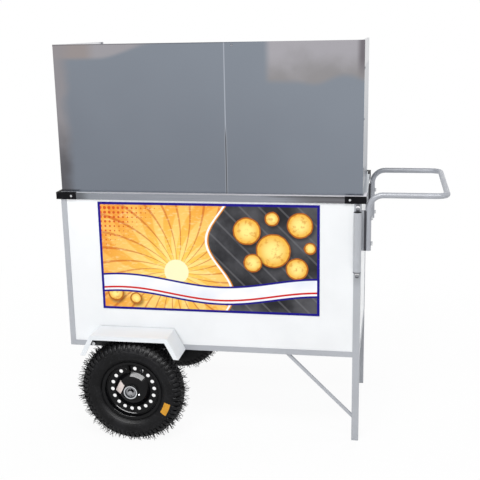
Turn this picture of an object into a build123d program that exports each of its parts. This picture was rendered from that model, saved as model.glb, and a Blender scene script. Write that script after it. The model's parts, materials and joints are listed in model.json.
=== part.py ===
"""French fry cart: a steel cabinet on two pneumatic wheels and two legs, with a stainless wind
guard round its worktop, a push handle at one end and two gas fryers behind the guard.

Millimetres, +Z up. +X points to the push handle, -Y to the customer's side with the sign. The
origin is on the floor, below the middle of the whole cart.
"""
import os
from math import atan2, cos, hypot, sin, tan

from build123d import *

# Cabinet frame of square tube
body_width = 1084
body_depth = 556
body_bottom = 324
frame_tube = 20
frame_wall = 1.5
leg_tube = 25
foot_base = 2
foot_spigot = 30
foot_clearance = 0.2
brace_bar = 10
brace_reach = 234
brace_foot_height = 95

# Cabinet panels and sign
panel_sheet = 1.5
panel_recess = 2
sign_width = 804
sign_height = 404
sign_sheet = 1.5
sign_shift = -3
sign_drop = 32
vent_length = 130
vent_width = 8
vent_pitch = 24
vent_count = 5
vent_height = 470

# Worktop, its corner caps and their rivets
worktop_height = 910
worktop_sheet = 1.5
band_height = 24
side_overhang = 14
front_overhang = 2
cap_leg = 74
cap_wall = 2
cap_lip = 8
cap_rivet_margin = 18
rivet_head = 4.5
rivet_dome = 2.2
rivet_shank = 2.4
rivet_clearance = 0.1

# Wind guard
guard_inset = 11.5
guard_height = 523
guard_setback = 21
guard_sheet = 1.2
guard_flange = 22
guard_hem = 7
guard_seam = 65
guard_overlap = 45
guard_seam_rivet = 31
guard_rivet_gap = 0.5
wing_back_gap = 8
wing_rivet_count = 3
wing_rivet_pitch = 170

# Push handle
handle_tube = 20
handle_wall = 1.5
handle_gap = 13.5
handle_reach = 298
handle_rise = 4
handle_bend = 50
handle_corner = 40
handle_bolt_drop = 76
handle_bolt_pitch = 90
handle_tail = 25
packing_width = 16

# Bolts
bolt_shank = 4
bolt_head = 7.5
bolt_head_height = 5.5
bolt_clearance = 0.25
screw_sink = 0.8
screw_drive = 2.6

# Pole socket on the front right leg
socket_bore = 12.5
socket_wall = 1.5
socket_top_drop = 50
socket_length = 215
socket_floor = 3
socket_strap = 4
socket_strap_width = 20
socket_tab = 24
socket_weld = 0.6

# Wheels and axle
tyre_radius = 192
tyre_width = 88
tyre_edge = 11
tyre_drop = 14
tyre_lug = 6
tyre_lug_count = 30
tyre_groove = 2
tyre_wall = 7
wheel_centre = -280.5
wheel_gap = 28
rim_radius = 112
rim_width = 54
rim_sheet = 2.5
rim_flange = 9
rim_drop = 3
rim_well_width = 21
rim_ramp = 5
rim_weld = 0.4
disc_offset = 4
disc_skirt = 12
disc_rise = 23
disc_boss = 20
disc_foot = 4.5
disc_round = 0.7
disc_hole = 7
disc_hole_inset = 20.5
disc_hole_count = 18
disc_hole_turn = 3.3
hub_radius = 25
hub_bore = 21
hub_outer = 43
hub_inner = 45
bearing_width = 12
bearing_recess = 9
bearing_seat = 0.02
axle_radius = 10
axle_tail = 4
axle_clearance = 0.05
washer_radius = 17
washer_thickness = 3
washer_gap = 0.3
pin_radius = 2
pin_gap = 0.7
pin_length = 34
hanger_plate = 6
hanger_top = 60
hanger_width = 22
hanger_gusset = 25
hanger_eye = 20
valve_radius = 6
valve_length = 34
valve_offset = 12
valve_turn = 10.7

# Mudguards
fender_top = 289
fender_foot = 370
fender_gap = 21
fender_foot_gap = 3
fender_reach = 40
fender_sheet = 1.5
fender_lip = 17
fender_bolt_inset = 15

# Fryers, fry bin, burners and gas
tank_width = 216
tank_depth = 320
tank_height = 180
tank_sheet = 1.5
tank_flange = 12
tank_gap = 6
tank_start = 62
tank_back_gap = 98
cutout_clearance = 1
bin_width = 380
bin_height = 90
bin_start = 70
bin_hole = 5
bin_hole_pitch = 34
basket_gap = 12
basket_height = 128
basket_sheet = 2
basket_lug = 24
basket_lug_length = 40
basket_seat = 0.3
basket_slot = 14
basket_slot_pitch = 22
basket_rod = 4
basket_rise = 58
basket_grip = 150
basket_slope = 29
basket_bend = 16
burner_radius = 14
burner_wall = 1.5
burner_drop = 45
burner_length = 300
burner_strap = 4
burner_strap_width = 30
burner_strap_pitch = 160
burner_back_gap = 60
valve_block = 34
valve_depth = 40
valve_nozzle = 5
valve_nozzle_length = 26
spindle_radius = 4
spindle_length = 14
spindle_hole = 5
manifold_radius = 8
manifold_drop = 32
manifold_boss = 9
barb_radius = 6
barb_length = 36
knob_radius = 20
knob_height = 20
knob_skirt = 12
knob_taper = 4
knob_gap = 1
knob_bore_clearance = 0.05
knob_rib = 9

# Rear door and its hinges
mullion_place = 0
door_gap = 3
door_thickness = 18
door_sheet = 1.5
door_head_gap = 4
hinge_leaf = 22
hinge_sheet = 2
hinge_height = 60
hinge_inset = 90
hinge_barrel = 5
hinge_pin = 2.5
hinge_clearance = 0.05
hinge_knuckle_gap = 0.4
door_handle_rod = 5
door_handle_span = 130
door_handle_stand = 32
door_handle_inset = 40

# Places worked out from the sizes above
cabinet_x = (side_overhang + cap_wall + rivet_dome - handle_reach) / 2
left = cabinet_x - body_width / 2
right = cabinet_x + body_width / 2
front = -body_depth / 2
back = body_depth / 2
rail_top = body_bottom + frame_tube
worktop_underside = worktop_height - worktop_sheet
band_bottom = worktop_height - band_height
top_rail_bottom = worktop_underside - frame_tube
worktop_left = left - side_overhang
worktop_right = right + side_overhang
worktop_front = front - front_overhang
worktop_back = back + front_overhang
leg_inner = right - leg_tube
upright_inner = left + frame_tube
leg_y = back - leg_tube / 2
leg_x = right - leg_tube / 2
mullion_x = cabinet_x + mullion_place
handle_x = right + handle_gap + handle_tube / 2
handle_end_x = right + handle_reach - handle_tube / 2
handle_bolt_heights = [
    worktop_height - handle_bolt_drop,
    worktop_height - handle_bolt_drop - handle_bolt_pitch,
]
handle_end_z = handle_bolt_heights[1] - handle_tail
handle_z = worktop_height + handle_rise
socket_top = worktop_height - socket_top_drop
socket_bottom = socket_top - socket_length
socket_bolt_heights = [socket_top + socket_tab / 2, socket_bottom - socket_tab / 2]
wheel_x = cabinet_x + wheel_centre
wheel_y = back + wheel_gap + tyre_width / 2
rim_seat = rim_radius - rim_flange
rim_well = rim_seat - rim_drop
disc_hole_circle = rim_well - disc_hole_inset
bearing_out = hub_outer - bearing_recess
bearing_in = hub_inner - washer_gap
pin_place = wheel_y + bearing_out + washer_gap + washer_thickness + pin_gap + pin_radius
axle_half = pin_place + axle_tail
fender_height = 2 * tyre_radius + fender_gap
fender_low = body_bottom + fender_foot_gap
fender_depth = wheel_gap + tyre_width / 2 + fender_reach
fender_bolt_x = [
    wheel_x - fender_foot / 2 + fender_bolt_inset,
    wheel_x + fender_foot / 2 - fender_bolt_inset,
]
fender_bolt_z = body_bottom + frame_tube / 2
tank_y = back - tank_back_gap - tank_depth / 2
tank_pitch = tank_width + 2 * tank_flange + tank_gap
tank_xs = [left + tank_start + tank_width / 2, left + tank_start + tank_width / 2 + tank_pitch]
bin_x = mullion_x + bin_start + bin_width / 2
tank_bottom = worktop_height - tank_height
burner_z = tank_bottom - burner_drop
panel_inside = back - panel_recess - panel_sheet

os.makedirs("parts", exist_ok=True)


def save(part, node):
    """Label a finished piece and write it as its own STEP file."""
    part.label = node
    export_step(part, f"parts/{node}.step")


def group(solids):
    """Separate solids kept together as one piece of the list."""
    return Compound([solid for part in solids for solid in part.solids()])


def block(x, y, z):
    """A rectangular solid between low and high limits on each axis."""
    with BuildPart() as solid:
        with BuildSketch(Plane.XY.offset(z[0])):
            with Locations(((x[0] + x[1]) / 2, (y[0] + y[1]) / 2)):
                Rectangle(x[1] - x[0], y[1] - y[0])
        extrude(amount=z[1] - z[0])
    return solid.part


def square_tube(start, end, size):
    """A hollow square tube between the centres of its two ends."""
    run = Vector(*end) - Vector(*start)
    with BuildPart() as tube:
        with BuildSketch(Plane(start, z_dir=run)):
            Rectangle(size, size)
            Rectangle(size - 2 * frame_wall, size - 2 * frame_wall, mode=Mode.SUBTRACT)
        extrude(amount=run.length)
    return tube.part


def cylinder(start, direction, length, radius, bore=0):
    """A round bar, or a ring where a bore is given."""
    with BuildPart() as bar:
        with BuildSketch(Plane(start, z_dir=direction)):
            Circle(radius)
            if bore:
                Circle(bore, mode=Mode.SUBTRACT)
        extrude(amount=length)
    return bar.part


def nut_part(seat, direction):
    """A hexagon nut lying on seat."""
    with BuildPart() as nut:
        with BuildSketch(Plane(seat, z_dir=direction)):
            RegularPolygon(bolt_head, 6)
            Circle(bolt_shank + rivet_clearance, mode=Mode.SUBTRACT)
        extrude(amount=bolt_head_height)
    return nut.part


def bolt(seat, direction, grip):
    """A hexagon bolt whose head sits at seat, and its nut at the far side of the grip."""
    far = Vector(*seat) + Vector(*direction) * grip
    with BuildPart() as screw:
        with BuildSketch(Plane(seat, z_dir=direction)):
            Circle(bolt_shank)
        extrude(amount=grip + bolt_head_height + bolt_shank / 2)
        with BuildSketch(Plane(seat, z_dir=direction)):
            RegularPolygon(bolt_head, 6)
        extrude(amount=-bolt_head_height)
    return [screw.part, nut_part(far, direction)]


def sunk_head(seat, direction, sink):
    """The right-angled cone of a countersunk head, level with seat."""
    with BuildPart() as head:
        with BuildSketch(Plane(seat, z_dir=direction)):
            Circle(bolt_shank + sink)
        extrude(amount=sink, taper=45)
    return head.part


def flush_screw(seat, direction, grip, sink):
    """A countersunk screw level with seat, and its nut at the far side of the grip."""
    far = Vector(*seat) + Vector(*direction) * grip
    with BuildPart() as screw:
        add(sunk_head(seat, direction, sink))
        with BuildSketch(Plane(seat, z_dir=direction)):
            Circle(bolt_shank)
        extrude(amount=grip + bolt_head_height + bolt_shank / 2)
        with BuildSketch(Plane(seat, z_dir=direction)):
            RegularPolygon(screw_drive, 6)
        extrude(amount=sink, mode=Mode.SUBTRACT)
    return [screw.part, nut_part(far, direction)]


def rivet(seat, direction, grip):
    """A dome-headed rivet with its head at seat and its shank along direction."""
    crown = (rivet_head**2 + rivet_dome**2) / (2 * rivet_dome)
    with BuildPart() as stud:
        with BuildSketch(Plane(seat, z_dir=direction)):
            Circle(rivet_shank)
        extrude(amount=grip)
        with BuildSketch(Plane(seat, x_dir=side_way(direction), z_dir=cross_way(direction))):
            with BuildLine():
                Line((0, 0), (rivet_head, 0))
                RadiusArc((rivet_head, 0), (0, -rivet_dome), crown)
                Line((0, -rivet_dome), (0, 0))
            make_face()
        revolve(axis=Axis(seat, direction))
    return stud.part


def side_way(direction):
    """An axis direction square to a given axis direction."""
    return (0, 1, 0) if abs(direction[0]) > 0.5 else (1, 0, 0)


def cross_way(direction):
    """The normal of the plane that holds side_way as its x and direction as its y."""
    return Vector(*side_way(direction)).cross(Vector(*direction))


def drill(plane, points, radius, depth):
    """Cut round holes through the current part, from both sides of a plane."""
    with BuildSketch(plane) as holes:
        with Locations(*points):
            Circle(radius)
    extrude(holes.sketch, amount=depth, both=True, mode=Mode.SUBTRACT)


# Uprights at the wheel end, legs at the handle end
bolt_hole = bolt_shank + bolt_clearance
for side, node in ((-1, "front_left_upright"), (1, "rear_left_upright")):
    upright_y = side * (back - frame_tube / 2)
    upright_x = left + frame_tube / 2
    save(
        square_tube(
            (upright_x, upright_y, body_bottom), (upright_x, upright_y, worktop_underside), frame_tube
        ),
        node,
    )

for side, node in ((-1, "front_right_leg"), (1, "rear_right_leg")):
    with BuildPart() as leg:
        add(square_tube((leg_x, side * leg_y, foot_base), (leg_x, side * leg_y, worktop_underside), leg_tube))
        drill(
            Plane.YZ.offset(right),
            [(side * leg_y, height) for height in handle_bolt_heights],
            bolt_hole,
            leg_tube / 2,
        )
        if side < 0:
            drill(
                Plane.XZ.offset(-front),
                [(leg_x, height) for height in socket_bolt_heights],
                bolt_hole,
                leg_tube / 2,
            )
    save(leg.part, node)

feet = []
for side in (-1, 1):
    with BuildPart() as foot:
        with BuildSketch(Plane((leg_x, side * leg_y, 0))):
            Rectangle(leg_tube, leg_tube)
        extrude(amount=foot_base)
        with BuildSketch(Plane((leg_x, side * leg_y, foot_base))):
            spigot = leg_tube - 2 * frame_wall - 2 * foot_clearance
            Rectangle(spigot, spigot)
        extrude(amount=foot_spigot)
    feet.append(foot.part)
save(group(feet), "leg_feet")

# Rails round the bottom and the top of the cabinet
for low, node in ((body_bottom, "bottom_rails"), (top_rail_bottom, "top_rails")):
    rails = []
    rail_z = low + frame_tube / 2
    for side in (-1, 1):
        rail_y = side * (back - frame_tube / 2)
        with BuildPart() as long_rail:
            add(square_tube((upright_inner, rail_y, rail_z), (leg_inner, rail_y, rail_z), frame_tube))
            if low == body_bottom:
                drill(
                    Plane.XZ.offset(-rail_y),
                    [(x, fender_bolt_z) for x in fender_bolt_x],
                    bolt_hole,
                    frame_tube,
                )
        rails.append(long_rail.part)
    for rail_x, post in ((left + frame_tube / 2, frame_tube), (right - frame_tube / 2, leg_tube)):
        rails.append(
            square_tube((rail_x, front + post, rail_z), (rail_x, back - post, rail_z), frame_tube)
        )
    save(group(rails), node)

mullion_y = back - frame_tube / 2
mullion_foot = rail_top + panel_sheet
save(
    square_tube((mullion_x, mullion_y, mullion_foot), (mullion_x, mullion_y, top_rail_bottom), frame_tube),
    "rear_mullion",
)

# Diagonal braces from the bottom rails to the legs
braces = []
brace_head_x = leg_inner - brace_reach
brace_slope = atan2(body_bottom - brace_foot_height, brace_reach)
head_cut = brace_bar / sin(brace_slope) / 2
foot_cut = brace_bar / cos(brace_slope) / 2
for side in (-1, 1):
    with BuildPart() as brace:
        with BuildSketch(Plane.XZ.offset(-side * (back - frame_tube / 2))):
            Polygon(
                (brace_head_x - head_cut, body_bottom),
                (brace_head_x + head_cut, body_bottom),
                (leg_inner, brace_foot_height + foot_cut),
                (leg_inner, brace_foot_height - foot_cut),
                align=None,
            )
        extrude(amount=brace_bar / 2, both=True)
    braces.append(brace.part)
save(group(braces), "leg_braces")

# Floor and panels
floor_y = back - panel_recess - panel_sheet
save(
    block((upright_inner, leg_inner), (-floor_y, floor_y), (rail_top, rail_top + panel_sheet)),
    "cabinet_floor",
)

panel_z = (rail_top, top_rail_bottom)
panel_face = front + panel_recess
save(block((upright_inner, leg_inner), (panel_face, panel_face + panel_sheet), panel_z), "front_panel")
save(
    block(
        (left + panel_recess, left + panel_recess + panel_sheet),
        (front + frame_tube, back - frame_tube),
        panel_z,
    ),
    "left_panel",
)
save(
    block(
        (right - panel_recess - panel_sheet, right - panel_recess),
        (front + leg_tube, back - leg_tube),
        panel_z,
    ),
    "right_panel",
)

with BuildPart() as rear_panel:
    add(
        block(
            (upright_inner, mullion_x - frame_tube / 2),
            (panel_inside, panel_inside + panel_sheet),
            panel_z,
        )
    )
    drill(Plane.XZ.offset(-panel_inside), [(x, burner_z) for x in tank_xs], spindle_hole, frame_tube)
    with BuildSketch(Plane.XZ.offset(-panel_inside)):
        with Locations(((upright_inner + mullion_x) / 2, vent_height)):
            with GridLocations(0, vent_pitch, 1, vent_count):
                SlotOverall(vent_length, vent_width)
    extrude(amount=frame_tube, both=True, mode=Mode.SUBTRACT)
save(rear_panel.part, "rear_panel")

sign_x = cabinet_x + sign_shift
sign_top = worktop_height - sign_drop
save(
    block(
        (sign_x - sign_width / 2, sign_x + sign_width / 2),
        (panel_face - sign_sheet, panel_face),
        (sign_top - sign_height, sign_top),
    ),
    "sign_panel",
)

# Worktop: a folded sheet with cut-outs for the two tanks and the fry bin
cap_rivet_z = worktop_height - band_height / 2
cap_rivet_inset = cap_leg - cap_rivet_margin
cap_rivet_x = [
    worktop_left - cap_wall + cap_rivet_inset,
    worktop_right + cap_wall - cap_rivet_inset,
]
cap_rivet_y = [
    worktop_front - cap_wall + cap_rivet_inset,
    worktop_back + cap_wall - cap_rivet_inset,
]
rivet_hole = rivet_shank + rivet_clearance
cutouts = [(x, tank_width) for x in tank_xs] + [(bin_x, bin_width)]
with BuildPart() as worktop:
    add(block((worktop_left, worktop_right), (worktop_front, worktop_back), (band_bottom, worktop_height)))
    with BuildSketch(Plane.XY.offset(band_bottom)):
        with Locations((cabinet_x, 0)):
            Rectangle(
                worktop_right - worktop_left - 2 * worktop_sheet,
                worktop_back - worktop_front - 2 * worktop_sheet,
            )
    extrude(amount=band_height - worktop_sheet, mode=Mode.SUBTRACT)
    with BuildSketch(Plane.XY.offset(worktop_underside)):
        for cut_x, cut_width in cutouts:
            with Locations((cut_x, tank_y)):
                Rectangle(cut_width + 2 * cutout_clearance, tank_depth + 2 * cutout_clearance)
    extrude(amount=worktop_sheet, mode=Mode.SUBTRACT)
    drill(Plane.XZ, [(x, cap_rivet_z) for x in cap_rivet_x], rivet_hole, body_depth)
    drill(Plane.YZ.offset(cabinet_x), [(y, cap_rivet_z) for y in cap_rivet_y], rivet_hole, body_width)
save(worktop.part, "worktop")

corner_x = worktop_right + cap_wall
corner_y = worktop_back + cap_wall


def corner_outline(width):
    """A right-angled strip of the given width along the rear right corner."""
    Polygon(
        (corner_x, corner_y),
        (corner_x - cap_leg, corner_y),
        (corner_x - cap_leg, corner_y - width),
        (corner_x - width, corner_y - width),
        (corner_x - width, corner_y - cap_leg),
        (corner_x, corner_y - cap_leg),
        align=None,
    )


with BuildPart() as corner_caps:
    with BuildSketch(Plane.XY.offset(band_bottom)):
        corner_outline(cap_wall)
    extrude(amount=band_height)
    with BuildSketch(Plane.XY.offset(worktop_height)):
        corner_outline(cap_wall + cap_lip)
    extrude(amount=cap_wall)
    mirror(about=Plane.XZ)
    mirror(about=Plane.YZ.offset(cabinet_x))
    drill(Plane.XZ, [(x, cap_rivet_z) for x in cap_rivet_x], rivet_hole, body_depth)
    drill(Plane.YZ.offset(cabinet_x), [(y, cap_rivet_z) for y in cap_rivet_y], rivet_hole, body_width)
save(corner_caps.part, "corner_caps")

cap_rivets = []
cap_grip = cap_wall + worktop_sheet
for x in cap_rivet_x:
    cap_rivets.append(rivet((x, worktop_front - cap_wall, cap_rivet_z), (0, 1, 0), cap_grip))
    cap_rivets.append(rivet((x, worktop_back + cap_wall, cap_rivet_z), (0, -1, 0), cap_grip))
for y in cap_rivet_y:
    cap_rivets.append(rivet((worktop_left - cap_wall, y, cap_rivet_z), (1, 0, 0), cap_grip))
    cap_rivets.append(rivet((worktop_right + cap_wall, y, cap_rivet_z), (-1, 0, 0), cap_grip))
save(group(cap_rivets), "corner_cap_rivets")

# Wind guard: the right front sheet laps over the left one, and the side wings sit inside them
guard_left = worktop_left + guard_inset
guard_right = worktop_right - guard_inset
guard_top = worktop_height + guard_height
guard_front = front + guard_setback
seam_x = cabinet_x + guard_seam
lap_x = seam_x + guard_overlap
seam_rivet_x = seam_x + guard_seam_rivet
seam_rivet_z = guard_top - guard_hem - rivet_head - guard_rivet_gap
wing_rivet_y = guard_front + guard_flange / 2
wing_rivet_zs = [
    worktop_height + guard_height / 2 + (i - (wing_rivet_count - 1) / 2) * wing_rivet_pitch
    for i in range(wing_rivet_count)
]


def guard_sheet_part(face_y, x_limits, flange_limits, hem_limits, edge_x, edge_side):
    """One front sheet with its floor flange, its top hem and a return flange at its outer edge."""
    with BuildPart() as sheet:
        add(block(x_limits, (face_y, face_y + guard_sheet), (worktop_height, guard_top)))
        flange_z = (worktop_height, worktop_height + guard_sheet)
        add(block(flange_limits, (face_y, face_y + guard_flange), flange_z))
        add(block(hem_limits, (face_y - guard_sheet, face_y), (guard_top - guard_hem, guard_top)))
        edge = sorted((edge_x, edge_x - edge_side * guard_sheet))
        add(block(edge, (face_y, guard_front + guard_flange), (worktop_height, guard_top)))
        drill(
            Plane.YZ.offset(edge_x),
            [(wing_rivet_y, height) for height in wing_rivet_zs],
            rivet_hole,
            guard_flange,
        )
        drill(Plane.XZ.offset(-face_y), [(seam_rivet_x, seam_rivet_z)], rivet_hole, guard_flange)
    return sheet.part


lapped_y = guard_front + guard_sheet
save(
    guard_sheet_part(
        lapped_y,
        (guard_left, lap_x),
        (guard_left, seam_x - guard_flange),
        (guard_left, seam_x - guard_sheet),
        guard_left,
        -1,
    ),
    "guard_left_sheet",
)
save(
    guard_sheet_part(
        guard_front,
        (seam_x, guard_right),
        (lap_x + guard_flange, guard_right),
        (seam_x, guard_right),
        guard_right,
        1,
    ),
    "guard_right_sheet",
)

wing_front = lapped_y + guard_sheet
wing_back = back - wing_back_gap
for side, edge_x, node in ((-1, guard_left, "guard_left_wing"), (1, guard_right, "guard_right_wing")):
    outer = edge_x - side * guard_sheet
    inner = outer - side * guard_sheet
    with BuildPart() as wing:
        add(
            block(
                sorted((outer, inner)),
                (wing_front, wing_back),
                (worktop_height + guard_sheet, guard_top),
            )
        )
        add(
            block(
                sorted((outer, inner - side * guard_flange)),
                (guard_front + 2 * guard_flange, wing_back),
                (worktop_height, worktop_height + guard_sheet),
            )
        )
        add(
            block(
                sorted((inner, inner - side * guard_hem)),
                (wing_back - guard_sheet, wing_back),
                (worktop_height + guard_sheet, guard_top),
            )
        )
        add(
            block(
                sorted((inner, inner - side * guard_hem)),
                (wing_front, wing_back),
                (guard_top - guard_sheet, guard_top),
            )
        )
        drill(
            Plane.YZ.offset(edge_x),
            [(wing_rivet_y, height) for height in wing_rivet_zs],
            rivet_hole,
            guard_flange,
        )
    save(wing.part, node)

guard_rivets = [rivet((seam_rivet_x, guard_front, seam_rivet_z), (0, 1, 0), 2 * guard_sheet)]
for height in wing_rivet_zs:
    guard_rivets.append(rivet((guard_left, wing_rivet_y, height), (1, 0, 0), 2 * guard_sheet))
    guard_rivets.append(rivet((guard_right, wing_rivet_y, height), (-1, 0, 0), 2 * guard_sheet))
save(group(guard_rivets), "guard_rivets")

# Push handle: one bent tube, bolted to the legs through packing strips
with BuildPart() as push_handle:
    with BuildLine() as handle_path:
        FilletPolyline(
            (handle_x, -leg_y, handle_end_z),
            (handle_x, -leg_y, handle_z),
            (handle_end_x, -leg_y, handle_z),
            (handle_end_x, leg_y, handle_z),
            (handle_x, leg_y, handle_z),
            (handle_x, leg_y, handle_end_z),
            radius=[handle_bend, handle_corner, handle_corner, handle_bend],
        )
    with BuildSketch(Plane((handle_x, -leg_y, handle_end_z))):
        Circle(handle_tube / 2)
        Circle(handle_tube / 2 - handle_wall, mode=Mode.SUBTRACT)
    sweep()
    for side in (-1, 1):
        drill(
            Plane.YZ.offset(handle_x),
            [(side * leg_y, height) for height in handle_bolt_heights],
            bolt_hole,
            handle_tube,
        )
save(push_handle.part, "push_handle")

packing = []
handle_bolts = []
handle_grip = handle_tube + handle_gap + frame_wall
packing_length = handle_bolt_pitch + 2 * handle_tail
for side in (-1, 1):
    foot = (handle_x, side * leg_y, handle_end_z)
    with BuildPart() as strip:
        with BuildSketch(Plane(((right + handle_x) / 2, side * leg_y, handle_end_z))):
            Rectangle(handle_x - right, packing_width)
        extrude(amount=packing_length)
        add(
            cylinder(foot, (0, 0, 1), packing_length, handle_tube / 2 + rivet_clearance),
            mode=Mode.SUBTRACT,
        )
        drill(
            Plane.YZ.offset(handle_x),
            [(side * leg_y, height) for height in handle_bolt_heights],
            bolt_hole,
            handle_x - right,
        )
    packing.append(strip.part)
    for height in handle_bolt_heights:
        head_x = handle_x + handle_tube / 2
        handle_bolts += bolt((head_x, side * leg_y, height), (-1, 0, 0), handle_grip)
save(group(packing), "handle_packing")
save(group(handle_bolts), "handle_bolts")

# Pole socket: a tube with a closed foot, welded to a strap that is bolted to the front right leg
socket_y = front - socket_strap - socket_bore - socket_wall + socket_weld
socket_seats = [(leg_x, front - socket_strap, height) for height in socket_bolt_heights]
socket_sink = screw_sink * socket_strap
with BuildPart() as pole_socket:
    with BuildSketch(Plane.XZ.offset(-front)):
        with Locations((leg_x, (socket_top + socket_bottom) / 2)):
            SlotOverall(socket_length + 2 * socket_tab, socket_strap_width, rotation=90)
    extrude(amount=socket_strap)
    with BuildSketch(Plane((leg_x, socket_y, socket_bottom))):
        Circle(socket_bore + socket_wall)
    extrude(amount=socket_length)
    with BuildSketch(Plane((leg_x, socket_y, socket_bottom + socket_floor))):
        Circle(socket_bore)
    extrude(amount=socket_length - socket_floor, mode=Mode.SUBTRACT)
    drill(
        Plane.XZ.offset(-front),
        [(leg_x, height) for height in socket_bolt_heights],
        bolt_hole,
        2 * socket_strap,
    )
    for seat in socket_seats:
        add(sunk_head(seat, (0, 1, 0), socket_sink), mode=Mode.SUBTRACT)
save(pole_socket.part, "pole_socket")

socket_screws = []
for seat in socket_seats:
    socket_screws += flush_screw(seat, (0, 1, 0), socket_strap + frame_wall, socket_sink)
save(group(socket_screws), "pole_socket_bolts")

# Mudguards: folded sheets bolted to the bottom rails


def fender_outline(inset, below):
    """The mudguard's outline, drawn in by inset and open by that much below its ends."""
    low = fender_low - below
    high = fender_height - inset
    flare = (fender_foot - fender_top) / 2 / (fender_height - fender_low)
    edge = inset * (1 + flare**2) ** 0.5
    half_high = fender_top / 2 + flare * (fender_height - high) - edge
    half_low = fender_top / 2 + flare * (fender_height - low) - edge
    Polygon(
        (wheel_x - half_low, low),
        (wheel_x - half_high, high),
        (wheel_x + half_high, high),
        (wheel_x + half_low, low),
        align=None,
    )


with BuildPart() as front_fender:
    with BuildSketch(Plane.XZ.offset(-front)):
        fender_outline(0, 0)
    extrude(amount=fender_depth)
    fillet(front_fender.edges().filter_by(Axis.Y).group_by(Axis.Z)[-1], fender_lip / 2)
    with BuildSketch(Plane.XZ.offset(-front + fender_sheet)):
        fender_outline(fender_sheet, fender_sheet)
    extrude(amount=fender_depth - 2 * fender_sheet, mode=Mode.SUBTRACT)
    with BuildSketch(Plane.XZ.offset(-front + fender_depth / 2)):
        fender_outline(fender_lip, fender_lip)
    extrude(amount=fender_depth, mode=Mode.SUBTRACT)
    drill(
        Plane.XZ.offset(-front),
        [(x, fender_bolt_z) for x in fender_bolt_x],
        bolt_hole,
        2 * fender_sheet,
    )
save(front_fender.part, "front_fender")

with BuildPart() as rear_fender:
    mirror(front_fender.part, about=Plane.XZ)
save(rear_fender.part, "rear_fender")

fender_bolts = []
for side in (-1, 1):
    for x in fender_bolt_x:
        seat = (x, side * (back + fender_sheet), fender_bolt_z)
        fender_bolts += bolt(seat, (0, -side, 0), fender_sheet + frame_tube)
save(group(fender_bolts), "fender_bolts")

# Axle, its hangers and its end fittings
with BuildPart() as axle:
    add(cylinder((wheel_x, -axle_half, tyre_radius), (0, 1, 0), 2 * axle_half, axle_radius))
    drill(
        Plane.XY.offset(tyre_radius),
        [(wheel_x, -pin_place), (wheel_x, pin_place)],
        pin_radius + rivet_clearance,
        2 * axle_radius,
    )
save(axle.part, "axle")

hangers = []
hanger_y = back - frame_tube / 2
for side in (-1, 1):
    with BuildPart() as hanger:
        with BuildSketch(Plane.XZ.offset(-side * hanger_y)):
            Polygon(
                (wheel_x - hanger_top / 2, body_bottom),
                (wheel_x + hanger_top / 2, body_bottom),
                (wheel_x + hanger_width / 2, body_bottom - hanger_gusset),
                (wheel_x + hanger_width / 2, tyre_radius),
                (wheel_x - hanger_width / 2, tyre_radius),
                (wheel_x - hanger_width / 2, body_bottom - hanger_gusset),
                align=None,
            )
            with Locations((wheel_x, tyre_radius)):
                Circle(hanger_eye)
                Circle(axle_radius + axle_clearance, mode=Mode.SUBTRACT)
        extrude(amount=hanger_plate / 2, both=True)
    hangers.append(hanger.part)
save(group(hangers), "axle_hangers")

fittings = []
for side in (-1, 1):
    out = (0, side, 0)
    washer_y = side * (wheel_y + bearing_out + washer_gap)
    ring_bore = axle_radius + axle_clearance
    fittings.append(
        cylinder((wheel_x, washer_y, tyre_radius), out, washer_thickness, washer_radius, ring_bore)
    )
    collar_start = hanger_y + hanger_plate / 2
    collar_length = wheel_y - bearing_in - washer_gap - collar_start
    collar_radius = (axle_radius + washer_radius) / 2
    fittings.append(
        cylinder((wheel_x, side * collar_start, tyre_radius), out, collar_length, collar_radius, ring_bore)
    )
    fittings.append(
        cylinder(
            (wheel_x, side * pin_place, tyre_radius - pin_length / 2), (0, 0, 1), pin_length, pin_radius
        )
    )
save(group(fittings), "axle_fittings")

# Wheels: tyre, rim with its holed disc, hub, bearings and valve. The rear ones are mirrored
wheel_middle = (wheel_x, -wheel_y, tyre_radius)
wheel_axis = Axis(wheel_middle, (0, -1, 0))
wheel_section = Plane(wheel_middle, x_dir=(0, -1, 0), z_dir=(-1, 0, 0))
wheel_face = Plane(wheel_middle, x_dir=(1, 0, 0), z_dir=(0, -1, 0))
crown = tyre_radius - tyre_lug
shoulder = crown - tyre_drop
tyre_half = tyre_width / 2
tread_half = tyre_half - tyre_edge
crown_bend = (tread_half**2 + tyre_drop**2) / (2 * tyre_drop)


def crown_point(row, turn, lift):
    """A point of the tyre's section at a turn from the crown's middle, lifted off the round crown."""
    reach = crown_bend + lift
    return (row * reach * sin(turn), crown - crown_bend + reach * cos(turn))


def tyre_lug_ring(row):
    """One row of lugs over half the crown, the first of which stands on the floor."""
    lug_arc = 180 / tyre_lug_count
    lug_root = -tyre_lug / 2
    first = atan2(tyre_groove / 2, crown_bend)
    last = atan2(tread_half, crown_bend - tyre_drop) + tyre_lug / crown_bend
    middle = (first + last) / 2
    with BuildPart() as lug:
        with BuildSketch(wheel_section):
            with BuildLine():
                ThreePointArc(*[crown_point(row, turn, tyre_lug) for turn in (first, middle, last)])
                Line(crown_point(row, last, tyre_lug), crown_point(row, last, lug_root))
                ThreePointArc(*[crown_point(row, turn, lug_root) for turn in (last, middle, first)])
                Line(crown_point(row, first, lug_root), crown_point(row, first, tyre_lug))
            make_face()
        revolve(axis=wheel_axis, revolution_arc=lug_arc)
    start = 180 - lug_arc / 2 + (row + 1) / 2 * lug_arc
    return [lug.part.rotate(wheel_axis, start + 2 * i * lug_arc) for i in range(tyre_lug_count)]


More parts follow.
